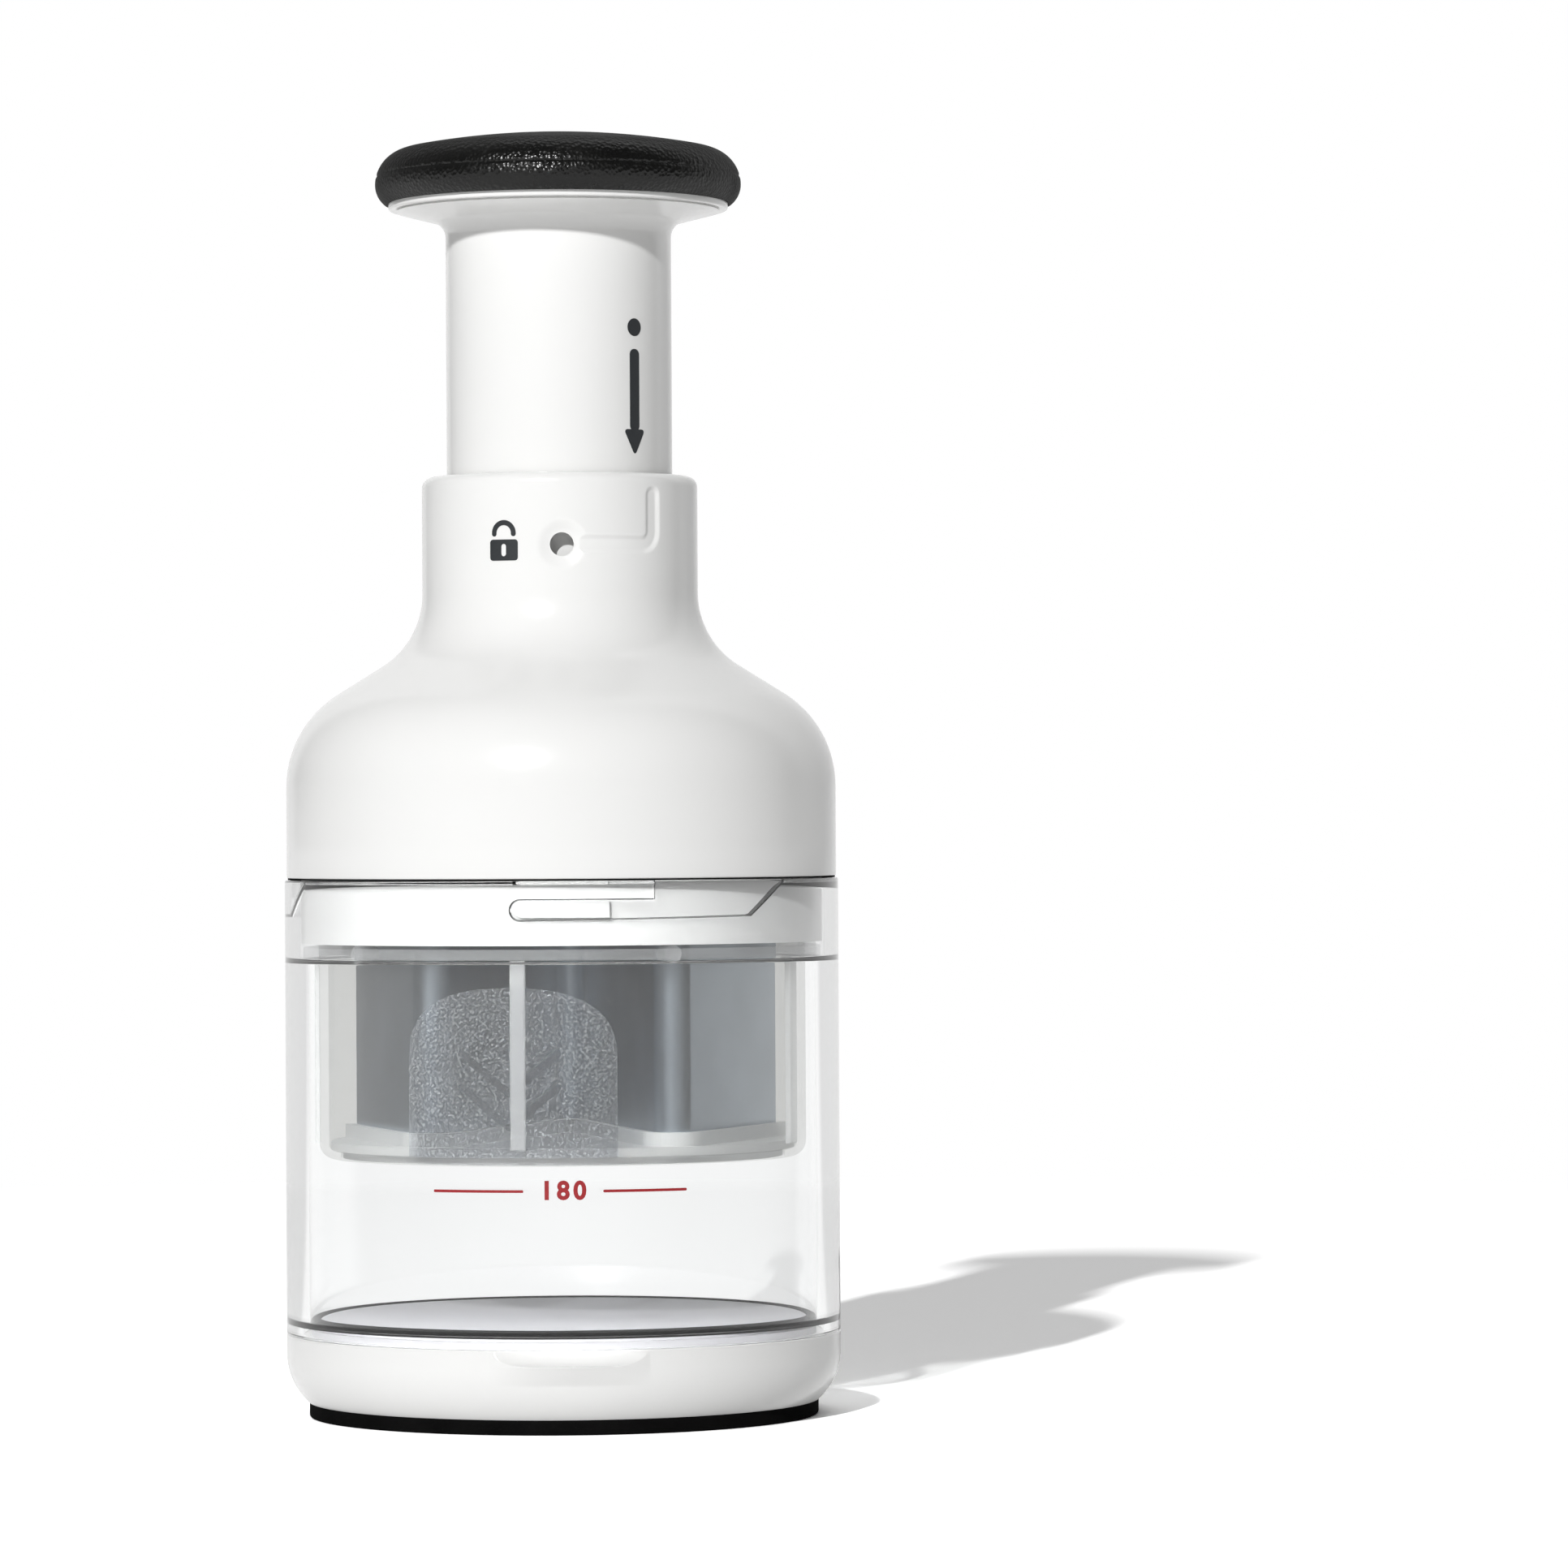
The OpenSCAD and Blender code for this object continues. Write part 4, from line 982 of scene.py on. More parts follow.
@dataclass
class Base(Part):
    """The pull-off base: foot pad, shell with its thumb ledge, and chopping board."""

    foot_r: float = 47.8
    foot_h: float = 2.8
    foot_edge_r: float = 0.5
    rim_r: float = 52.0
    rim_z: float = 15.7
    corner_r: float = 12.0
    corner_clear: float = 0.1
    corner_steps: int = 48
    shell_in_r: float = 46.8
    floor_t: float = 2.2
    rim_edge_r: float = 0.35
    ledge_sector_deg: float = 40.0
    sector_steps: int = 160
    side_steps: int = 5
    scoop_steps: int = 26
    ledge_from_r: float = 47.8
    ledge_half_w: float = 14.5
    ledge_out: float = 1.6
    ledge_z: float = 12.8
    ledge_foot_z: float = 9.2
    ledge_power: float = 1.15
    scoop_depth: float = 1.8
    scoop_share: float = 0.94
    cove_r: float = 2.9
    board_r: float = 46.0
    board_z: float = 18.8
    board_edge_r: float = 0.9
    edge_steps: int = 6
    board_t: float = 2.2
    skirt_r: float = 46.7
    plug_r: float = 47.4
    plug_h: float = 1.2
    # A thin dark ring in the gap round the board's rim: painted shade for the shadowed gap.
    shade_ring_in_r: float = 45.6
    shade_ring_out_r: float = 47.5
    shade_ring_low_z: float = 18.6
    shade_ring_top_z: float = 19.02
    shade_ring_edge_r: float = 0.18
    sharp_deg: float = 40.0

    def foot_pad(self) -> bmesh.types.BMesh:
        """Draws the foot pad."""
        return (Section(0.0, 0.0).line(self.foot_r - self.foot_edge_r, 0.0)
                .arc(self.foot_r - self.foot_edge_r, self.foot_edge_r, QUARTER_DEG)
                .line(self.foot_r, self.foot_h).line(0.0, self.foot_h).turn())

    def shell(self) -> bmesh.types.BMesh:
        """Draws the shell and presses its thumb ledge out of the front."""
        corner = math.acos(1.0 - (self.rim_r - self.foot_r - self.corner_clear) / self.corner_r)
        corner_z = self.foot_h + self.corner_r * math.sin(corner)
        edge, floor_z = self.rim_edge_r, self.foot_h + self.floor_t
        bm = (Section(0.0, self.foot_h)
              .line(self.foot_r + self.corner_clear, self.foot_h)
              .arc(self.rim_r - self.corner_r, corner_z, math.degrees(corner), self.corner_steps)
              .line(self.rim_r, self.ledge_z, self.side_steps)
              .line(self.rim_r, self.rim_z - edge, self.scoop_steps)
              .arc(self.rim_r - edge, self.rim_z - edge, QUARTER_DEG, EDGE_STEPS)
              .line(self.shell_in_r + edge, self.rim_z)
              .arc(self.shell_in_r + edge, self.rim_z - edge, QUARTER_DEG, EDGE_STEPS)
              .line(self.shell_in_r, floor_z)
              .line(0.0, floor_z)
              .turn(((self.ledge_sector_deg, self.sector_steps),
                     (FULL_TURN_DEG - self.ledge_sector_deg, self.sector_steps)),
                    start_deg=-self.ledge_sector_deg / 2.0))
        for vert in bm.verts:
            self.press_ledge(vert)
        return bm

    def press_ledge(self, vert: bmesh.types.BMVert) -> None:
        """Moves a vertex of the shell's outside to the ledge or the scoop over it.

        Args:
            vert: The vertex.
        """
        radius = math.hypot(vert.co.x, vert.co.y)
        across = abs(vert.co.x) / self.ledge_half_w
        outside = vert.co.y <= 0.0 and radius >= self.ledge_from_r
        if not outside or vert.co.z < self.ledge_foot_z or across >= 1.0:
            return
        out = self.ledge_out * (1.0 - across * across)
        if vert.co.z > self.ledge_z + WELD:
            depth = max(0.0, self.scoop_depth * (1.0 - (across / self.scoop_share) ** 2))
            drop = self.rim_z - vert.co.z
            cove = self.cove_r - math.sqrt(max(0.0, self.cove_r ** 2 - drop ** 2))
            wanted = min(self.rim_r - depth + cove, self.rim_r + out)
            if drop < self.rim_edge_r:
                wanted -= max(0.0, self.rim_r - radius)
        else:
            rise = (vert.co.z - self.ledge_foot_z) / (self.ledge_z - self.ledge_foot_z)
            wanted = radius + out * rise ** self.ledge_power
        move_to_radius(vert, wanted)

    def board(self) -> bmesh.types.BMesh:
        """Draws the chopping board with its rim and the collar that centres the cup."""
        edge, plug_z = self.board_edge_r, self.rim_z + self.plug_h
        floor_z = self.foot_h + self.floor_t
        return (Section(0.0, self.board_z)
                .line(self.board_r - edge, self.board_z)
                .arc(self.board_r - edge, self.board_z - edge, -QUARTER_DEG, self.edge_steps)
                .line(self.board_r, plug_z)
                .line(self.plug_r, plug_z)
                .line(self.plug_r, self.rim_z)
                .line(self.skirt_r, self.rim_z)
                .line(self.skirt_r, floor_z)
                .line(self.skirt_r - self.board_t, floor_z)
                .line(self.skirt_r - self.board_t, self.board_z - self.board_t)
                .line(0.0, self.board_z - self.board_t)
                .turn())

    def board_shade_ring(self) -> bmesh.types.BMesh:
        """Draws a thin dark ring in the gap between the board's rim and the cup: painted shade
        standing in for the shadowed gap.
        """
        edge = self.shade_ring_edge_r
        return (Section(self.shade_ring_in_r, self.shade_ring_low_z)
                .line(self.shade_ring_out_r - edge, self.shade_ring_low_z)
                .arc(self.shade_ring_out_r - edge, self.shade_ring_low_z + edge, QUARTER_DEG, EDGE_STEPS)
                .line(self.shade_ring_out_r, self.shade_ring_top_z - edge)
                .arc(self.shade_ring_out_r - edge, self.shade_ring_top_z - edge, QUARTER_DEG, EDGE_STEPS)
                .line(self.shade_ring_in_r + edge, self.shade_ring_top_z)
                .arc(self.shade_ring_in_r + edge, self.shade_ring_top_z - edge, QUARTER_DEG, EDGE_STEPS)
                .close().turn())

    def pieces(self) -> list[tuple[Piece, bmesh.types.BMesh]]:
        """Draws the base's pieces."""
        shell = Piece("base_shell_white", "base", Finish.WHITE, ("base_shell",), self.sharp_deg)
        return [
            (Piece("foot_pad_rubber", "base", Finish.FOOT, ("foot_pad",)), self.foot_pad()),
            (shell, self.shell()),
            (Piece("chopping_board_disc", "base", Finish.BOARD, ("chopping_board",)), self.board()),
            # The dark ring round the board is painted shade, dressed in the foot's rubber.
            (Piece("board_painted_shade_ring", "base", Finish.FOOT), self.board_shade_ring()),
        ]


@dataclass
class Cup(Part):
    """The clear cup: a thick tube with a wider socket, three bayonet channels and a fill mark."""

    outer_r: float = 52.0
    inner_r: float = 47.7
    socket_r: float = 49.2
    low_z: float = 15.7
    high_z: float = 100.6
    ledge_z: float = 85.6
    ledge_r: float = 0.5
    lead_r: float = 1.25
    lead_z: float = 17.6
    rim_lead_r: float = 2.1
    edge_r: float = 0.45
    foot_edge_r: float = 0.2
    edge_steps: int = 6
    wall_steps: int = 256
    channel_n: int = 3
    channel_r: float = 50.9
    closed_deg: float = -12.1
    entry_deg: float = 18.0
    entry_end_deg: float = 41.3
    entry_top_deg: float = 54.0
    channel_low_z: float = 93.2
    channel_high_z: float = 97.35
    channel_edge_r: float = 0.5
    channel_end_steps: int = 16
    channel_strip: float = 1.1
    cutter_in_r: float = 47.2
    cutter_over: float = 1.0
    # Width and radius of the dark film along the channels' edges, which is painted shade.
    shade_line_w: float = 0.6
    shade_line_r: float = 51.2
    ramp_rise: float = 0.6
    mark_z: float = 44.5
    mark_h: float = 0.5
    mark_round_share: float = 0.4
    mark_spans_deg: tuple[tuple[float, float], ...] = ((-28.0, -9.2), (6.8, 24.3))
    mark_text: str = "180"
    mark_text_h: float = 3.3
    mark_text_deg: float = -1.2
    text_size_share: float = 1.4
    text_weight_share: float = 0.05
    text_spacing: float = 1.3
    text_curve_steps: int = 4

    def wall(self) -> bmesh.types.BMesh:
        """Draws the cup without its channels."""
        edge, lead, ledge, foot = self.edge_r, self.lead_r, self.ledge_r, self.foot_edge_r
        rim_r, rim_z = self.socket_r + self.rim_lead_r, self.high_z - self.rim_lead_r
        return (Section(self.inner_r, self.lead_z + lead)
                .arc(self.inner_r + lead, self.lead_z + lead, QUARTER_DEG)
                .line(self.inner_r + lead, self.low_z)
                .line(self.outer_r - foot, self.low_z)
                .arc(self.outer_r - foot, self.low_z + foot, QUARTER_DEG, self.edge_steps)
                .line(self.outer_r, self.high_z - edge)
                .arc(self.outer_r - edge, self.high_z - edge, QUARTER_DEG, self.edge_steps)
                .line(rim_r, self.high_z)
                .arc(rim_r, rim_z, QUARTER_DEG)
                .line(self.socket_r, self.ledge_z + ledge)
                .arc(self.socket_r - ledge, self.ledge_z + ledge, -QUARTER_DEG, CORNER_STEPS)
                .line(self.inner_r + ledge, self.ledge_z)
                .arc(self.inner_r + ledge, self.ledge_z - ledge, QUARTER_DEG, CORNER_STEPS)
                .close().turn(((FULL_TURN_DEG, self.wall_steps),)))

    def channel_shape(self) -> Flat:
        """Draws the flat shape of a bayonet channel: a round closed end and an entry at the top."""
        per_degree = math.radians(self.channel_r)
        top, low = self.channel_high_z, self.channel_low_z
        end_r, over = (top - low) / 2.0, self.high_z + self.cutter_over
        centre = self.closed_deg * per_degree + end_r
        turns = [math.radians(QUARTER_DEG + HALF_TURN_DEG * i / self.channel_end_steps)
                 for i in range(self.channel_end_steps + 1)]
        closed_end = [(centre + end_r * math.cos(turn), low + end_r + end_r * math.sin(turn))
                      for turn in turns]
        return Flat().polygon(closed_end + [
            (self.entry_end_deg * per_degree, low + self.ramp_rise),
            (self.entry_top_deg * per_degree, over),
            (self.entry_deg * per_degree, over),
            (self.entry_deg * per_degree, top),
        ])

    def channel(self, turn_deg: float) -> bmesh.types.BMesh:
        """Draws the solid that cuts one bayonet channel out of the socket's wall.

        Args:
            turn_deg: Turn of the channel round the cup.

        Returns:
            The solid.
        """
        return self.channel_shape().wrapped(
            self.cutter_in_r, self.channel_r - self.cutter_in_r, turn_deg, strip=self.channel_strip,
            round_r=self.channel_edge_r,
        )

    def painted_channel_shade_film(self, turn_deg: float) -> bmesh.types.BMesh:
        """Draws a dark film in the wall along a channel's edge: painted shade standing in for the
        dark line that refraction gives there.

        Args:
            turn_deg: Turn of the channel round the cup.

        Returns:
            The film.
        """
        line = self.channel_shape().outlined(self.shade_line_w, self.high_z - self.shade_line_w)
        return line.wrapped(self.shade_line_r, INK_T, turn_deg, strip=self.channel_strip)

    def fill_mark(self) -> bmesh.types.BMesh:
        """Draws the two lines of the fill mark."""
        shape = Flat()
        per_degree = math.radians(self.outer_r)
        for start, end in self.mark_spans_deg:
            shape.rounded((start + end) / 2.0 * per_degree, self.mark_z, (end - start) * per_degree,
                          self.mark_h, self.mark_h * self.mark_round_share)
        return shape.wrapped(self.outer_r + INK_GAP, INK_T, 0.0)

    def fill_number(self) -> bmesh.types.BMesh:
        """Draws the plain number between the lines."""
        curve = bpy.data.curves.new("fill_number", "FONT")
        curve.body, curve.align_x, curve.align_y = self.mark_text, "CENTER", "CENTER"
        curve.size = self.mark_text_h * self.text_size_share
        curve.offset = self.mark_text_h * self.text_weight_share
        curve.space_character = self.text_spacing
        curve.resolution_u = self.text_curve_steps
        writing = bpy.data.objects.new("fill_number", curve)
        bpy.context.scene.collection.objects.link(writing)
        graph = bpy.context.evaluated_depsgraph_get()
        flat = bpy.data.meshes.new_from_object(writing.evaluated_get(graph))
        bpy.data.objects.remove(writing)
        bpy.data.curves.remove(curve)
        shape = Flat()
        shape.bm.from_mesh(flat)
        bpy.data.meshes.remove(flat)
        bmesh.ops.remove_doubles(shape.bm, verts=shape.bm.verts[:], dist=WELD)
        bmesh.ops.rotate(shape.bm, verts=shape.bm.verts[:], matrix=turned(QUARTER_DEG, "X", 3))
        bmesh.ops.translate(shape.bm, verts=shape.bm.verts[:], vec=(0.0, 0.0, self.mark_z))
        return shape.wrapped(self.outer_r + INK_GAP, INK_T, self.mark_text_deg)

    def pieces(self) -> list[tuple[Piece, bmesh.types.BMesh]]:
        """Draws the cup's pieces."""
        turns = evenly_round(self.channel_n)
        wall = cut_away(self.wall(), [self.channel(turn_deg) for turn_deg in turns])
        lines = joined([self.painted_channel_shade_film(turn_deg) for turn_deg in turns])
        return [
            (Piece("cup_clear", "cup", Finish.CLEAR, ("cup",)), wall),
            # The dark film along the channels' edges is painted shade, dressed in the grey ink
            # finish.
            (Piece("painted_channel_shade_lines", "cup", Finish.GREY_INK), lines),
            (Piece("fill_mark", "cup", Finish.RED_INK), self.fill_mark()),
            (Piece("fill_number", "cup", Finish.RED_INK), self.fill_number()),
        ]

    def build(self, wardrobe: Wardrobe) -> list[bpy.types.Object]:
        """Builds the cup's pieces, and evens out the round walls that the channels cut."""
        made = super().build(wardrobe)
        round_radial_normals(made[0])
        return made


@dataclass
class Housing(Part):
    """The white housing: shoulder and collar with the lock window, and the lock's sign."""

    side_r: float = 51.6
    low_z: float = 100.9
    side_h: float = 17.0
    shoulder_share: float = 0.794
    neck_share: float = 0.63
    slope_deg: float = 32.0
    wall: float = 2.0
    collar_r: float = 25.9
    top_z: float = 176.0
    top_edge_r: float = 2.0
    low_edge_r: float = 0.3
    bend_steps: int = 20
    inner_bend_steps: int = 12
    straight_steps: int = 3
    collar_steps: int = 84
    press_from_deg: float = -14.0
    press_sector_deg: float = 68.0
    press_steps: int = 170
    plain_steps: int = 146
    press_margin: float = 1.0
    wall_tolerance: float = 0.02
    lip_r: float = 21.8
    lip_h: float = 2.0
    window_z: float = 162.5
    window_r: float = 2.2
    window_deg: float = -0.4
    window_sides: int = 64
    drill_length: float = 8.0
    dish_r: float = 5.0
    dish_depth: float = 0.8
    dish_flat_share: float = 0.9
    groove_w: float = 3.3
    groove_depth: float = 0.45
    groove_deg: float = 41.0
    groove_top_z: float = 173.4
    groove_soft: float = 0.9
    groove_lip: float = 0.25
    groove_bend_share: float = 0.78
    lock_deg: float = -24.8
    lock_low_z: float = 159.55
    lock_w: float = 5.6
    lock_h: float = 3.9
    lock_round_r: float = 0.6
    bow_w: float = 4.8
    bow_t: float = 0.95
    bow_top_z: float = 167.05
    bow_end_z: float = 164.5
    bow_steps: int = 20
    slot_w: float = 1.0
    slot_h: float = 2.3
    slot_cutter_in: float = 1.0
    slot_cutter_t: float = 3.0
    # A thin dark ring in the gap under the shell: painted shade for the shadow gap.
    gap_shade_in_r: float = 49.7
    gap_shade_out_r: float = 51.4
    gap_shade_low_z: float = 100.64
    gap_shade_top_z: float = 100.89

    def gap_shade_ring(self) -> bmesh.types.BMesh:
        """Draws a thin dark ring in the gap between the shell and the cup: painted shade standing
        in for the shadow gap.
        """
        return (Section(self.gap_shade_in_r, self.gap_shade_low_z).line(self.gap_shade_out_r, self.gap_shade_low_z)
                .line(self.gap_shade_out_r, self.gap_shade_top_z).line(self.gap_shade_in_r, self.gap_shade_top_z)
                .close().turn())

    def shell(self) -> bmesh.types.BMesh:
        """Draws the shell, presses in its dish and groove, and drills its window."""
        way = self.side_r - self.collar_r
        shoulder_r, neck_r = self.shoulder_share * way, self.neck_share * way
        shoulder_c, neck_c = self.side_r - shoulder_r, self.collar_r + neck_r
        slope, bend_deg = math.radians(self.slope_deg), QUARTER_DEG - self.slope_deg
        bend = math.radians(bend_deg)
        arc_z = self.low_z + self.side_h
        top_r = shoulder_c + shoulder_r * math.cos(bend)
        shoulder_z = arc_z + shoulder_r * math.sin(bend)
        low_r = self.collar_r + neck_r * (1.0 - math.cos(bend))
        low_z = shoulder_z + (top_r - low_r) * math.tan(slope)
        neck_z = low_z + neck_r * math.sin(bend)
        edge, low_edge, in_r = self.top_edge_r, self.low_edge_r, self.collar_r - self.wall
        bm = (Section(self.side_r - low_edge, self.low_z)
              .arc(self.side_r - low_edge, self.low_z + low_edge, QUARTER_DEG, self.straight_steps)
              .line(self.side_r, arc_z, self.straight_steps)
              .arc(shoulder_c, arc_z, bend_deg, self.bend_steps)
              .line(low_r, low_z, self.straight_steps)
              .arc(neck_c, neck_z, -bend_deg, self.bend_steps)
              .line(self.collar_r, self.window_z - self.dish_r - self.press_margin)
              .line(self.collar_r, self.top_z - edge, self.collar_steps)
              .arc(self.collar_r - edge, self.top_z - edge, QUARTER_DEG, CORNER_STEPS)
              .line(self.lip_r, self.top_z)
              .line(self.lip_r, self.top_z - self.lip_h)
              .line(in_r, self.top_z - self.lip_h)
              .line(in_r, neck_z)
              .arc(neck_c, neck_z, bend_deg, self.inner_bend_steps)
              .line(top_r - self.wall * math.sin(slope), shoulder_z - self.wall * math.cos(slope))
              .arc(shoulder_c, arc_z, -bend_deg, self.inner_bend_steps)
              .line(self.side_r - self.wall, self.low_z)
              .close()
              .turn(((self.press_sector_deg, self.press_steps),
                     (FULL_TURN_DEG - self.press_sector_deg, self.plain_steps)),
                    start_deg=self.press_from_deg))
        for vert in bm.verts:
            self.press_collar(vert)
        drill = radial_pin(self.window_r, self.drill_length, self.window_deg, self.collar_r,
                           self.window_z, self.window_sides)
        return cut_away(bm, [drill])

    def press_collar(self, vert: bmesh.types.BMVert) -> None:
        """Presses a vertex of the collar's outside into the dish or the groove.

        Args:
            vert: The vertex.
        """
        radius = math.hypot(vert.co.x, vert.co.y)
        on_wall = abs(radius - self.collar_r) <= self.wall_tolerance
        if not on_wall or vert.co.z > self.top_z - self.top_edge_r + WELD:
            return
        bearing = math.atan2(vert.co.x, -vert.co.y) - math.radians(self.window_deg)
        along, up = self.collar_r * bearing, vert.co.z - self.window_z
        half, flat_r = self.groove_w / 2.0, self.window_r * self.dish_flat_share
        dish = 1.0 - smooth_step(flat_r, self.dish_r, math.hypot(along, up))
        groove = 1.0 - smooth_step(half - self.groove_soft, half + self.groove_lip,
                                   self.groove_distance(along, up))
        move_to_radius(vert, radius - max(self.dish_depth * dish, self.groove_depth * groove))

    def groove_distance(self, along: float, up: float) -> float:
        """Returns how far a place is from the middle line of the L-shaped groove.

        Args:
            along: Distance of the place from the window's middle, round the collar.
            up: Its height over the window's middle.

        Returns:
            The distance.
        """
        corner = math.radians(self.groove_deg) * self.collar_r
        top = self.groove_top_z - self.window_z - self.groove_w / 2.0
        bend = self.groove_w * self.groove_bend_share
        if along > corner - bend and up < bend:
            return abs(math.hypot(along - corner + bend, up - bend) - bend)
        flat = math.hypot(up, min(0.0, along)) if along <= corner - bend else math.inf
        upright = math.hypot(along - corner, max(0.0, up - top)) if up >= bend else math.inf
        return min(flat, upright)

    def bow(self, radius: float, centre_z: float) -> Flat:
        """Draws the padlock's bow: a leg, a half turn and the other leg.

        Args:
            radius: Radius of the middle line of the half turn.
            centre_z: Height of its centre.

        Returns:
            The flat shape.
        """
        shape = Flat()
        bm, rise = shape.bm, Vector((0.0, 0.0, centre_z - self.bow_end_z))
        foot = [bm.verts.new((radius + side * self.bow_t / 2.0, 0.0, self.bow_end_z))
                for side in SIDES]
        leg = bmesh.ops.extrude_edge_only(bm, edges=[bm.edges.new(foot)])["geom"]
        bmesh.ops.translate(bm, verts=verts_in(leg), vec=rise)
        over = bmesh.ops.spin(
            bm, geom=verts_in(leg) + edges_in(leg), cent=(0.0, 0.0, centre_z),
            axis=(0.0, -1.0, 0.0), angle=math.pi, steps=self.bow_steps, use_duplicate=False,
        )["geom_last"]
        leg = bmesh.ops.extrude_edge_only(bm, edges=edges_in(over))["geom"]
        bmesh.ops.translate(bm, verts=verts_in(leg), vec=-rise)
        return shape

    def lock_sign(self) -> bmesh.types.BMesh:
        """Draws the open padlock beside the window."""
        middle = self.lock_low_z + self.lock_h / 2.0
        body = Flat().rounded(0.0, middle, self.lock_w, self.lock_h, self.lock_round_r)
        slot = Flat().rounded(0.0, middle, self.slot_w, self.slot_h, self.slot_w / 2.0)
        hole = slot.wrapped(self.collar_r - self.slot_cutter_in, self.slot_cutter_t, self.lock_deg,
                            INK_STRIP)
        bow_r = (self.bow_w - self.bow_t) / 2.0
        bow = self.bow(bow_r, self.bow_top_z - self.bow_t / 2.0 - bow_r)
        ends = Flat()
        for side in SIDES:
            ends.disc(side * bow_r, self.bow_end_z, self.bow_t / 2.0)
        ink_r = self.collar_r + INK_GAP
        return joined([
            cut_away(body.wrapped(ink_r, INK_T, self.lock_deg, INK_STRIP), [hole]),
            bow.wrapped(ink_r, INK_T, self.lock_deg, INK_STRIP),
            ends.wrapped(ink_r, INK_T * INK_OVERLAP, self.lock_deg, INK_STRIP),
        ])

    def pieces(self) -> list[tuple[Piece, bmesh.types.BMesh]]:
        """Draws the housing's pieces."""
        return [
            (Piece("housing_white", "housing", Finish.WHITE, ("housing_shell",)), self.shell()),
            # The dark ring under the shell is painted shade, dressed in the foot's rubber.
            (Piece("gap_painted_shade_ring", "housing", Finish.FOOT), self.gap_shade_ring()),
            (Piece("lock_sign", "housing", Finish.GREY_INK), self.lock_sign()),
        ]


@dataclass
class ReturnSpring(Part):
    """The return spring round the guide tower."""

    low_z: float = 104.5
    high_z: float = 176.0
    mean_r: float = 12.6
    wire_r: float = 0.8
    turns: int = 11
    end_gap: float = 0.5
    steps: int = 36
    wire_sides: int = 12
    pressed_share: float = 0.574
    sharp_deg: float = 60.0

    def coil(self) -> bmesh.types.BMesh:
        """Draws the wire as a spring with one nearly closed turn at each end."""
        bm = bmesh.new()
        bmesh.ops.create_circle(
            bm, cap_ends=False, segments=self.wire_sides, radius=self.wire_r,
            matrix=Matrix.Translation((self.mean_r, 0.0, self.low_z + self.wire_r))
            @ turned(QUARTER_DEG, "X"),
        )
        closed = 2.0 * self.wire_r + self.end_gap
        open_rise = (self.high_z - self.low_z - 2.0 * self.wire_r - 2.0 * closed) / (self.turns - 2)
        first = bm.edges[:]
        part = bm.verts[:] + bm.edges[:]
        for turns, rise in ((1, closed), (self.turns - 2, open_rise), (1, closed)):
            part = bmesh.ops.spin(
                bm, geom=part, cent=ORIGIN, axis=UP, dvec=(0.0, 0.0, rise / self.steps),
                angle=math.radians(FULL_TURN_DEG * turns), steps=self.steps * turns,
                use_duplicate=False,
            )["geom_last"]
        for loop in (first, edges_in(part)):
            bmesh.ops.contextual_create(bm, geom=loop)
        bmesh.ops.recalc_face_normals(bm, faces=bm.faces[:])
        return bm

    def pieces(self) -> list[tuple[Piece, bmesh.types.BMesh]]:
        """Draws the spring."""
        piece = Piece("return_spring_coil", "housing", Finish.SPRING, ("return_spring",),
                      self.sharp_deg)
        return [(piece, self.coil())]

    def build(self, wardrobe: Wardrobe) -> list[bpy.types.Object]:
        """Builds the spring and gives it a mesh of its own."""
        spring = super().build(wardrobe)[0]
        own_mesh(spring)
        return [spring]


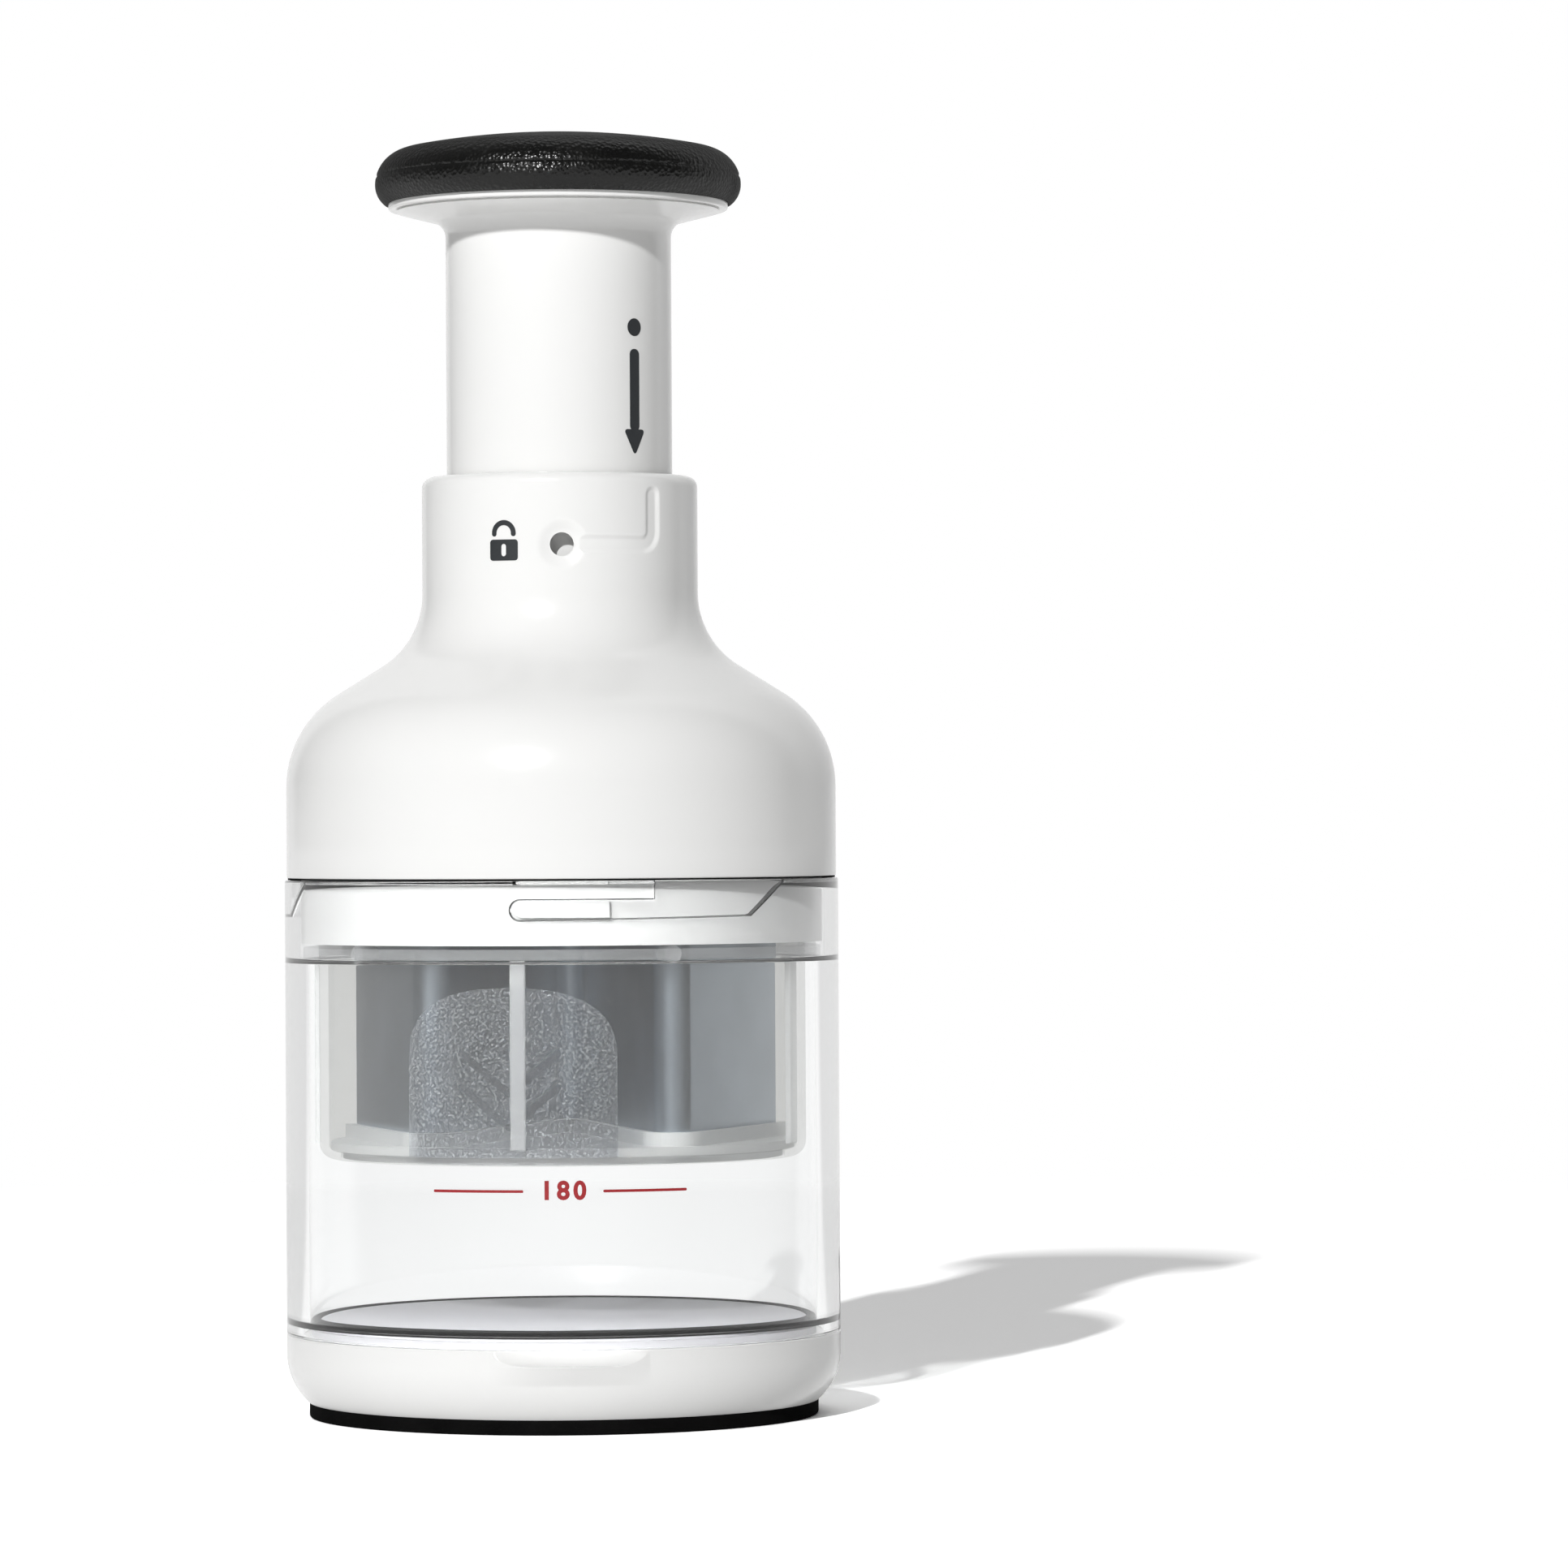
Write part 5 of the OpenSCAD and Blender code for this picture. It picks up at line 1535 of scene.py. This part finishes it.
@dataclass
class BladeShield(Part):
    """The translucent shield round the blade, with its ribs, bosses and grip pad."""

    outer_r: float = 45.7
    wall: float = 1.8
    low_z: float = 48.6
    flange_z: float = 86.1
    flange_t: float = 2.4
    flange_r: float = 48.6
    flange_edge_r: float = 0.3
    flange_edge_steps: int = 3
    corner_r: float = 3.0
    lip_w: float = 2.2
    lip_t: float = 1.4
    fillet_r: float = 1.2
    corner_steps: int = 10
    snap_r: float = 46.3
    snap_wall: float = 1.6
    snap_top_z: float = 97.0
    rib_n: int = 5
    rib_deg: float = -11.1
    rib_w: float = 2.8
    rib_out: float = 0.8
    rib_edge_r: float = 0.35
    rib_bite: float = 0.1
    rib_strips: float = 4.0
    boss_deg: float = 22.6
    boss_z: float = 87.1
    boss_r: float = 1.65
    boss_out_r: float = 48.8
    boss_bite: float = 0.4
    flange_gap: float = 0.4
    pad_deg: float = -13.2
    pad_w: float = 38.8
    pad_h: float = 30.8
    pad_drop: float = 1.7
    pad_arch_share: float = 0.42
    pad_arch_power: float = 2.5
    pad_out: float = 0.35
    pad_arch_steps: int = 40
    cutter_in: float = 1.0
    cutter_t: float = 2.5
    chevron_w: float = 17.6
    chevron_h: float = 7.3
    chevron_t: float = 1.45
    chevron_z: tuple[float, ...] = (62.0, 55.8)
    chevron_out: float = 0.3
    chevron_edge_r: float = 0.3
    chevron_gap: float = 0.12

    def shell(self) -> bmesh.types.BMesh:
        """Draws the round wall with its flange, lip and snap ring."""
        inner_r, corner, fillet = self.outer_r - self.wall, self.corner_r, self.fillet_r
        top, lip_z = self.flange_z + self.flange_t, self.low_z + self.lip_t
        return (Section(inner_r - self.lip_w, self.low_z)
                .line(self.outer_r - corner, self.low_z)
                .arc(self.outer_r - corner, self.low_z + corner, QUARTER_DEG, self.corner_steps)
                .line(self.outer_r, top)
                .line(self.snap_r, top)
                .line(self.snap_r, self.snap_top_z)
                .line(self.snap_r - self.snap_wall, self.snap_top_z)
                .line(self.snap_r - self.snap_wall, top)
                .line(inner_r, self.flange_z)
                .line(inner_r, lip_z + fillet)
                .arc(inner_r - fillet, lip_z + fillet, -QUARTER_DEG, EDGE_STEPS)
                .line(inner_r - self.lip_w, lip_z)
                .close().turn())

    def flange(self) -> bmesh.types.BMesh:
        """Draws the flange that stands out of the wall under the white ring."""
        top, inner = self.flange_z + self.flange_t - self.flange_gap, self.outer_r - BITE
        edge, steps = self.flange_edge_r, self.flange_edge_steps
        return (Section(inner, self.flange_z)
                .line(self.flange_r - edge, self.flange_z)
                .arc(self.flange_r - edge, self.flange_z + edge, QUARTER_DEG, steps)
                .line(self.flange_r, top - edge)
                .arc(self.flange_r - edge, top - edge, QUARTER_DEG, steps)
                .line(inner, top)
                .close().turn())

    def ribs(self) -> list[bmesh.types.BMesh]:
        """Draws the upright ribs on the wall's outside."""
        low, high, half = self.low_z + self.corner_r, self.flange_z, self.rib_w / 2.0
        return [
            Flat().polygon([(-half, low), (half, low), (half, high), (-half, high)]).wrapped(
                self.outer_r - self.rib_bite, self.rib_out + self.rib_bite, angle_deg,
                strip=self.rib_w / self.rib_strips, round_r=self.rib_edge_r)
            for angle_deg in evenly_round(self.rib_n, self.rib_deg)
        ]

    def bosses(self) -> list[bmesh.types.BMesh]:
        """Draws the round bosses on the flange."""
        return [
            radial_pin(self.boss_r, self.boss_out_r - self.outer_r + self.boss_bite, angle_deg,
                       (self.boss_out_r + self.outer_r) / 2.0, self.boss_z, CIRCLE_SIDES)
            for angle_deg in evenly_round(self.rib_n, self.boss_deg)
        ]

    def chevrons(self, radius: float, thickness: float, grow: float = 0.0,
                 round_r: float = 0.0) -> list[bmesh.types.BMesh]:
        """Draws the four arms of the two chevrons.

        Args:
            radius: Radius of their inner side.
            thickness: Distance between their two sides.
            grow: How much wider each arm is than its own width, all of it below the arm.
            round_r: Radius of the rounding of their outer edges.

        Returns:
            The arms, each a closed mesh.
        """
        slant = math.degrees(math.atan2(self.chevron_h, self.chevron_w / 2.0))
        width = self.chevron_t + grow
        arm = math.hypot(self.chevron_h, self.chevron_w / 2.0) + width
        made = []
        for z in self.chevron_z:
            for side in SIDES:
                middle_z = z + (self.chevron_h - grow) / 2.0
                shape = Flat().rounded(side * self.chevron_w / 4.0, middle_z, arm, width,
                                       width / 2.0, slant_deg=-side * slant)
                made.append(shape.wrapped(radius, thickness, self.pad_deg, round_r=round_r))
        return made

    def pad(self) -> bmesh.types.BMesh:
        """Draws the arched grip pad, open where the chevrons stand."""
        rise = self.pad_h * self.pad_arch_share
        low = self.low_z + self.pad_drop
        side_top = low + self.pad_h - rise
        half, power = self.pad_w / 2.0, 2.0 / self.pad_arch_power
        arch = []
        for step in range(self.pad_arch_steps + 1):
            turn = math.pi * step / self.pad_arch_steps
            across, up = math.cos(turn), math.sin(turn)
            arch.append((half * math.copysign(abs(across) ** power, across),
                         side_top + rise * abs(up) ** power))
        pad = Flat().polygon(arch + [(-half, low), (half, low)]).wrapped(
            self.outer_r - BITE, self.pad_out + BITE, self.pad_deg)
        return cut_away(pad, self.chevrons(self.outer_r - self.cutter_in, self.cutter_t,
                                           self.chevron_gap))

    def pieces(self) -> list[tuple[Piece, bmesh.types.BMesh]]:
        """Draws the shield's pieces."""
        flange = joined([self.flange(), *self.bosses()])
        chevrons = joined(self.chevrons(self.outer_r - BITE, self.chevron_out + BITE,
                                        round_r=self.chevron_edge_r))
        return [
            (Piece("blade_shield_wall", "housing", Finish.SHIELD, ("blade_shield",)), self.shell()),
            (Piece("shield_flange", "housing", Finish.RIM), flange),
            (Piece("pad_chevrons", "housing", Finish.CHEVRON), chevrons),
            (Piece("shield_ribs", "housing", Finish.RIB), joined(self.ribs())),
            (Piece("grip_pad", "housing", Finish.PAD), self.pad()),
        ]


@dataclass
class Blade(Part):
    """The W-shaped steel strip."""

    low_z: float = 49.3
    height: float = 44.2
    thickness: float = 0.6
    bend_r: float = 3.0
    turn_deg: float = -4.7
    corners: tuple[tuple[float, float], ...] = (
        (-40.0, 8.0), (-21.1, -40.6), (0.0, 36.0), (21.1, -40.6), (40.0, 8.0),
    )
    bend_steps: int = 24
    ground_h: float = 1.6
    edge_t: float = 0.12

    def strip(self) -> bmesh.types.BMesh:
        """Draws the strip: an upright line goes along the path and round each bend."""
        bm = bmesh.new()
        points = [Vector((x, y, 0.0)) for x, y in self.corners]
        radius = self.bend_r + self.thickness / 2.0
        foot = bm.verts.new((points[0].x, points[0].y, self.low_z))
        part: list = [foot]
        for height in (self.ground_h, self.height - self.ground_h):
            foot = bmesh.ops.extrude_vert_indiv(bm, verts=[foot])["verts"][0]
            foot.co.z += height
            part.append(foot)
        part += bm.edges[:]
        here = points[0]
        for before, corner, after in zip(points, points[1:], points[2:]):
            back, ahead = (before - corner).normalized(), (after - corner).normalized()
            half = back.angle(ahead) / 2.0
            start = corner + back * radius / math.tan(half)
            centre = corner + (back + ahead).normalized() * radius / math.sin(half)
            part = self.drawn(bm, part, start - here)
            side = 1.0 if back.cross(ahead).z < 0.0 else -1.0
            part = bmesh.ops.spin(
                bm, geom=part, cent=centre, axis=(0.0, 0.0, side), angle=math.pi - 2.0 * half,
                steps=self.bend_steps, use_duplicate=False,
            )["geom_last"]
            here = corner + ahead * radius / math.tan(half)
        self.drawn(bm, part, points[-1] - here)
        bmesh.ops.remove_doubles(bm, verts=bm.verts[:], dist=WELD)
        bmesh.ops.recalc_face_normals(bm, faces=bm.faces[:])
        self.thicken(bm)
        bmesh.ops.rotate(bm, verts=bm.verts[:], matrix=turned(self.turn_deg, "Z", 3))
        return bm

    def drawn(self, bm: bmesh.types.BMesh, part: list[object], way: Vector) -> list[object]:
        """Draws a line along a way.

        Args:
            bm: The strip's mesh.
            part: The vertices and edges of the line.
            way: How far and where to it goes.

        Returns:
            The vertices and edges of the line in its new place.
        """
        risen = bmesh.ops.extrude_edge_only(bm, edges=edges_in(part))["geom"]
        verts = verts_in(risen)
        bmesh.ops.translate(bm, verts=verts, vec=way)
        return verts + [edge for edge in edges_in(risen) if set(edge.verts).issubset(verts)]

    def thicken(self, bm: bmesh.types.BMesh) -> None:
        """Gives the strip its thickness, and grinds its lower edge."""
        bm.normal_update()
        ways = {vert: Vector((vert.normal.x, vert.normal.y, 0.0)).normalized() for vert in bm.verts}
        by_place = {tuple(vert.co): way for vert, way in ways.items()}
        other = bmesh.ops.extrude_face_region(bm, geom=bm.faces[:], use_keep_orig=True)["geom"]
        for vert in verts_in(other):
            vert.co += by_place[tuple(vert.co)] * self.half_thickness(vert.co.z)
        for vert, way in ways.items():
            vert.co -= way * self.half_thickness(vert.co.z)
        bmesh.ops.recalc_face_normals(bm, faces=bm.faces[:])

    def half_thickness(self, z: float) -> float:
        """Returns half of the strip's thickness at a height."""
        return (self.edge_t if z < self.low_z + WELD else self.thickness) / 2.0

    def pieces(self) -> list[tuple[Piece, bmesh.types.BMesh]]:
        """Draws the strip."""
        return [(Piece("blade_strip_steel", "blade", Finish.BLADE, ("blade_strip",)), self.strip())]


@dataclass
class Knob(Part):
    """The plunger tube with its flare, the core's ring and the black palm cushion."""

    tube_r: float = 21.2
    tube_in_r: float = 18.7
    tube_z: float = 150.0
    flare_z: float = 221.1
    flare_r: float = 3.2
    flare_slope_deg: float = 17.0
    flare_edge_r: float = 30.5
    flare_lip: float = 0.35
    flare_steps: int = 10
    tube_steps: int = 4
    slope_steps: int = 2
    stop_r: float = 23.4
    stop_h: float = 3.4
    stop_top_z: float = 168.7
    ring_r: float = 31.9
    ring_t: float = 1.1
    ring_edge_r: float = 0.3
    ring_edge_steps: int = 3
    core_r: float = 28.5
    core_h: float = 8.7
    core_t: float = 2.0
    knob_r: float = 34.4
    upper_r: float = 6.8
    lower_r: float = 4.6
    dome_deg: float = 79.0
    belly_rise: float = 4.7
    belly_steps: int = 12
    shoulder_steps: int = 64
    dome_steps: int = 16
    seam_z: float = 232.6
    seam_w: float = 0.5
    seam_depth: float = 0.18
    seam_margin: float = 1.0
    seat_gap: float = 0.1
    dot_deg: float = 40.2
    dot_z: float = 203.15
    dot_r: float = 1.65
    shaft_w: float = 2.3
    shaft_top_z: float = 199.1
    shaft_low_z: float = 183.8
    head_w: float = 5.25
    tip_z: float = 179.7
    shaft_round_share: float = 0.45
    head_over: float = 0.35
    tip_over: float = 0.5
    head_round: float = 0.9
    head_steps: int = 6

    def flare_top(self) -> float:
        """Returns the height at which the flare ends and the core's ring starts."""
        slope = math.radians(self.flare_slope_deg)
        tangent_r = self.tube_r + self.flare_r * (1.0 - math.sin(slope))
        tangent_z = self.flare_z + self.flare_r * math.cos(slope)
        return tangent_z + (self.flare_edge_r - tangent_r) * math.tan(slope)

    def tube(self) -> bmesh.types.BMesh:
        """Draws the tube with its stop ring and flare."""
        turn_deg = self.flare_slope_deg - QUARTER_DEG
        return (Section(self.tube_in_r, self.tube_z)
                .line(self.tube_r, self.tube_z)
                .line(self.tube_r, self.stop_top_z - self.stop_h)
                .line(self.stop_r, self.stop_top_z - self.stop_h)
                .line(self.stop_r, self.stop_top_z)
                .line(self.tube_r, self.stop_top_z)
                .line(self.tube_r, self.flare_z, self.tube_steps)
                .arc(self.tube_r + self.flare_r, self.flare_z, turn_deg, self.flare_steps)
                .line(self.flare_edge_r, self.flare_top() - self.flare_lip, self.slope_steps)
                .line(self.flare_edge_r - self.flare_lip, self.flare_top())
                .line(self.tube_in_r, self.flare_top())
                .close().turn())

    def cushion(self) -> bmesh.types.BMesh:
        """Draws the cushion: lower edge, seam, upper edge and dome."""
        low_z = self.flare_top() + self.ring_t
        belly_z = self.flare_top() + self.belly_rise
        core_top = self.flare_top() + self.core_h + self.seat_gap
        low_deg = math.degrees(math.asin((low_z - belly_z) / self.lower_r))
        low_r = self.knob_r - self.lower_r + self.lower_r * math.cos(math.radians(low_deg))
        across = self.knob_r - self.upper_r
        dome_z = belly_z - across * math.tan(math.radians(self.dome_deg))
        bm = (Section(self.core_r + self.seat_gap, low_z)
              .line(low_r, low_z)
              .arc(self.knob_r - self.lower_r, belly_z, -low_deg, self.belly_steps)
              .arc(across, belly_z, self.dome_deg, self.shoulder_steps)
              .arc(0.0, dome_z, QUARTER_DEG - self.dome_deg, self.dome_steps)
              .line(0.0, core_top)
              .line(self.core_r + self.seat_gap, core_top)
              .close().turn())
        for vert in bm.verts:
            radius = math.hypot(vert.co.x, vert.co.y)
            if radius > across + self.seam_margin and vert.co.z > belly_z:
                away = abs(vert.co.z - self.seam_z) / self.seam_w
                move_to_radius(vert, radius - self.seam_depth * max(0.0, 1.0 - away))
        return bm

    def core(self) -> bmesh.types.BMesh:
        """Draws the rigid core and the thin ring that shows under the cushion."""
        low, edge = self.flare_top(), self.ring_edge_r
        inner, top = self.core_r - self.core_t, low + self.core_h
        return (Section(inner, low)
                .line(self.ring_r - edge, low)
                .arc(self.ring_r - edge, low + edge, QUARTER_DEG, self.ring_edge_steps)
                .line(self.ring_r, low + self.ring_t)
                .line(self.core_r, low + self.ring_t)
                .line(self.core_r, top)
                .line(0.0, top)
                .line(0.0, top - self.core_t)
                .line(inner, top - self.core_t)
                .close().turn())

    def arrow(self) -> bmesh.types.BMesh:
        """Draws the dot and the arrow that shows how to line the tube up."""
        shape = Flat().disc(0.0, self.dot_z, self.dot_r)
        shape.rounded(0.0, (self.shaft_top_z + self.shaft_low_z) / 2.0, self.shaft_w,
                      self.shaft_top_z - self.shaft_low_z, self.shaft_w * self.shaft_round_share)
        head = Flat()
        half, head_z = self.head_w / 2.0, self.shaft_low_z + self.head_over
        head.soft_polygon(((-half, head_z), (0.0, self.tip_z - self.tip_over), (half, head_z)),
                          self.head_round, self.head_steps)
        ink_r = self.tube_r + INK_GAP
        return joined([
            shape.wrapped(ink_r, INK_T, self.dot_deg, INK_STRIP),
            head.wrapped(ink_r, INK_T * INK_OVERLAP, self.dot_deg, INK_STRIP),
        ])

    def pieces(self) -> list[tuple[Piece, bmesh.types.BMesh]]:
        """Draws the knob's pieces."""
        return [
            (Piece("plunger_tube_white", "knob", Finish.WHITE, ("plunger_tube",)), self.tube()),
            (Piece("knob_core_white", "knob", Finish.WHITE, ("knob_core",)), self.core()),
            (Piece("knob_cushion_rubber", "knob", Finish.KNOB, ("knob_cushion",)), self.cushion()),
            (Piece("arrow_sign", "knob", Finish.GREY_INK), self.arrow()),
        ]


class Inside:
    """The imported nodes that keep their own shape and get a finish."""

    finishes: dict[str, Finish] = {
        # The inner frame's darker white is painted shade.
        "inner_frame": Finish.INNER,
        "cam_pins": Finish.SCREW,
        "guide_bush": Finish.BEARING,
        "spring_washer": Finish.SCREW,
        "wiper_plate": Finish.WIPER,
        "plunger_carriage": Finish.BEARING,
        "knob_screws": Finish.SCREW,
        "blade_stem": Finish.BEARING,
        "thrust_washer": Finish.SCREW,
        "stem_screw": Finish.SCREW,
        "blade_carrier": Finish.INNER,
    }

    def dress(self, nodes: dict[str, bpy.types.Object], wardrobe: Wardrobe) -> None:
        """Gives each node its finish.

        Args:
            nodes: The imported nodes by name.
            wardrobe: Where the finishes come from.
        """
        for name, finish in self.finishes.items():
            for slot in nodes[name].material_slots:
                slot.material = wardrobe.material(finish)
            LOG.info("%s: packed shape, %s", name, finish.value)


@dataclass
class Studio:
    """The photograph's studio: white floor and backdrop, dark sides, strip lamp and camera."""

    camera_mm: tuple[float, float, float] = (-26.87, -1313.4, 112.0)
    yaw_deg: float = -3.0
    pitch_deg: float = 0.267
    roll_deg: float = -0.315
    lens: float = 160.25
    sensor: float = 36.0
    clip_m: tuple[float, float] = (0.05, 200.0)
    lamp_mm: tuple[float, float, float] = (-1694.0, -5064.0, 2964.0)
    lamp_aim_mm: tuple[float, float, float] = (0.0, 0.0, 110.0)
    lamp_w: float = 0.08
    lamp_h: float = 0.3
    lamp_power: float = 300.0
    floor_half: float = 60.0
    floor_colour: float = 0.88
    floor_seen_colour: float = 1.82
    floor_refracted_colour: float = 1.5
    floor_refracted_white: float = 0.68
    floor_white_m: tuple[float, float] = (0.62, 0.85)
    surroundings: tuple[tuple[float, float], ...] = (
        (-180.0, 0.12), (-125.0, 0.2), (-100.0, 0.12), (-48.0, 0.1), (-41.0, 0.15), (-34.0, 0.9),
        (0.0, 1.0), (34.0, 0.85), (45.0, 0.4), (57.0, 0.08), (68.0, 0.05),
        (125.0, 0.05), (145.0, 0.12), (180.0, 0.12),
    )
    reflections: tuple[tuple[float, float], ...] = (
        (-180.0, 0.12), (-150.0, 0.14), (-115.0, 0.12), (-60.0, 0.15), (-32.0, 0.2), (-26.0, 0.85),
        (0.0, 1.0), (36.0, 0.95), (58.0, 0.9), (64.0, 0.3), (72.0, 0.1),
        (110.0, 0.12), (150.0, 0.14), (180.0, 0.12),
    )
    in_blade: tuple[tuple[float, float], ...] = (
        (-180.0, 0.6), (-150.0, 0.5), (-115.0, 0.15), (-60.0, 0.15), (-32.0, 0.18), (-26.0, 0.85),
        (0.0, 1.0), (36.0, 0.95), (58.0, 0.9), (64.0, 0.3), (72.0, 0.1),
        (110.0, 0.15), (150.0, 0.5), (180.0, 0.6),
    )
    through_cup: tuple[tuple[float, float], ...] = (
        (-180.0, 1.0), (-42.0, 1.0), (-38.0, 0.7), (38.0, 0.72), (42.0, 1.0), (180.0, 1.0),
    )
    cup_walls: float = 3.5
    no_mirror: float = 0.5
    dark_above: tuple[float, float] = (0.15, 0.4)
    dark_level: float = 0.05

    def by_bearing(self, bench: NodeBench, way: bpy.types.Node,
                   stops: Sequence[tuple[float, float]]) -> bpy.types.NodeSocket:
        """Returns a level that changes with the bearing.

        Args:
            bench: Where the nodes go.
            way: A node that gives the X, Y and Z of a way or place.
            stops: Bearing, from behind towards the right, and level there.

        Returns:
            The socket of the level.
        """
        bearing = bench.maths("ARCTAN2", way.outputs["X"], way.outputs["Y"])
        place = bench.remap(bearing, (-math.pi, math.pi))
        return bench.ramp(place, [((bearing_deg + HALF_TURN_DEG) / FULL_TURN_DEG, level)
                                  for bearing_deg, level in stops])

    def inside(self, bench: NodeBench, way: bpy.types.Node) -> bpy.types.NodeSocket:
        """Returns the level that a ray out of the cup sees.

        It is white straight through the cup, changes with the bearing where the cup's wall
        turned the ray, and has a scale of its own where the blade mirrored it.

        Args:
            bench: Where the nodes go.
            way: A node that gives the X, Y and Z of a way or place.

        Returns:
            The socket of the level.
        """
        bent = bench.blend(bench.more_than("Transmission Depth", self.cup_walls),
                           self.by_bearing(bench, way, self.through_cup),
                           self.by_bearing(bench, way, self.in_blade))
        return bench.blend(bench.more_than("Glossy Depth", self.no_mirror), WHITE, bent)

    def floor(self) -> bpy.types.Object:
        """Lays the floor, which is white where it is seen and grey in the shadow."""
        bm = bmesh.new()
        bmesh.ops.create_grid(bm, x_segments=1, y_segments=1, size=self.floor_half)
        mesh = bpy.data.meshes.new("studio_floor")
        bm.to_mesh(mesh)
        bm.free()
        bench = NodeBench.material("studio_floor")
        spot = bench.place()
        way = bench.add("ShaderNodeSeparateXYZ", {"Vector": spot})
        through, seen = bench.seen("Is Transmission Ray"), bench.seen("Is Camera Ray")
        dimmed = bench.blend(through, WHITE, self.inside(bench, way))
        refracted = bench.blend(1.0, dimmed, grey(self.floor_refracted_colour), "MULTIPLY")
        lit = bench.blend(bench.seen("Is Transmission Ray", "Is Glossy Ray"),
                          grey(self.floor_colour), refracted)
        cloth = bench.add("ShaderNodeBsdfDiffuse", {
            "Color": bench.blend(seen, lit, grey(self.floor_seen_colour)),
        })
        reach = bench.add("ShaderNodeVectorMath", {0: spot}, operation="LENGTH").outputs["Value"]
        most = bench.maths("MAXIMUM", bench.remap(reach, self.floor_white_m),
                           bench.maths("MULTIPLY", through, self.floor_refracted_white))
        white = bench.maths("MULTIPLY", most,
                            bench.seen("Is Camera Ray", "Is Transmission Ray", "Is Glossy Ray"))
        shine = bench.add("ShaderNodeEmission", {"Color": dimmed, "Strength": 1.0})
        mesh.materials.append(bench.finish(
            bench.mixed(white, cloth.outputs["BSDF"], shine.outputs["Emission"])))
        floor = bpy.data.objects.new("studio_floor", mesh)
        bpy.context.scene.collection.objects.link(floor)
        return floor

    def world(self) -> None:
        """Makes the surroundings: lit by the bearing, and white to the camera."""
        bench = NodeBench(bpy.data.worlds.new("studio_world"), "ShaderNodeOutputWorld")
        spot = bench.add("ShaderNodeTexCoord").outputs["Generated"]
        way = bench.add("ShaderNodeSeparateXYZ", {"Vector": spot})
        above = bench.remap(way.outputs["Z"], self.dark_above, (1.0, self.dark_level))
        reflected = self.by_bearing(bench, way, self.reflections)
        refracted = bench.blend(1.0, self.inside(bench, way), above, "MULTIPLY")
        colour = self.by_bearing(bench, way, self.surroundings)
        for kind, level in (("Is Glossy Ray", reflected), ("Is Transmission Ray", refracted),
                            ("Is Camera Ray", WHITE)):
            colour = bench.blend(bench.seen(kind), colour, level)
        sky = bench.add("ShaderNodeBackground", {"Color": colour, "Strength": 1.0})
        bpy.context.scene.world = bench.finish(sky.outputs["Background"])

    def lamp(self) -> None:
        """Hangs the strip lamp that throws the long shadow."""
        light = bpy.data.lights.new("studio_lamp", "AREA")
        light.shape, light.size, light.size_y = "RECTANGLE", self.lamp_w, self.lamp_h
        light.energy = self.lamp_power
        holder = bpy.data.objects.new("studio_lamp", light)
        place = Vector(self.lamp_mm)
        holder.location = place * METRE
        aim = Vector(self.lamp_aim_mm) - place
        holder.rotation_euler = aim.to_track_quat("-Z", "Y").to_euler()
        bpy.context.scene.collection.objects.link(holder)

    def camera(self) -> None:
        """Sets up the camera at the photograph's angle."""
        lens = bpy.data.cameras.new("studio_camera")
        lens.lens, lens.sensor_width = self.lens, self.sensor
        lens.clip_start, lens.clip_end = self.clip_m
        camera = bpy.data.objects.new("studio_camera", lens)
        turn = (turned(self.yaw_deg, "Z") @ turned(QUARTER_DEG + self.pitch_deg, "X")
                @ turned(self.roll_deg, "Z"))
        camera.matrix_world = Matrix.Translation(Vector(self.camera_mm) * METRE) @ turn
        bpy.context.scene.collection.objects.link(camera)
        bpy.context.scene.camera = camera

    def build(self) -> None:
        """Sets up the whole studio."""
        self.floor()
        self.world()
        self.lamp()
        self.camera()
        bpy.context.scene.view_settings.view_transform = "Standard"


def main() -> None:
    """Builds the chopper around the frame."""
    logging.basicConfig(level=logging.INFO, format="%(name)s: %(message)s")
    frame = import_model()
    wardrobe = Wardrobe()
    Inside().dress(frame["nodes"], wardrobe)
    for part in (Base(), Cup(), Housing(), ReturnSpring(), BladeShield(), Blade(), Knob()):
        for piece in part.build(wardrobe):
            LOG.info("%s is in place", piece.name)
    Studio().build()


if __name__ == "__main__":
    main()
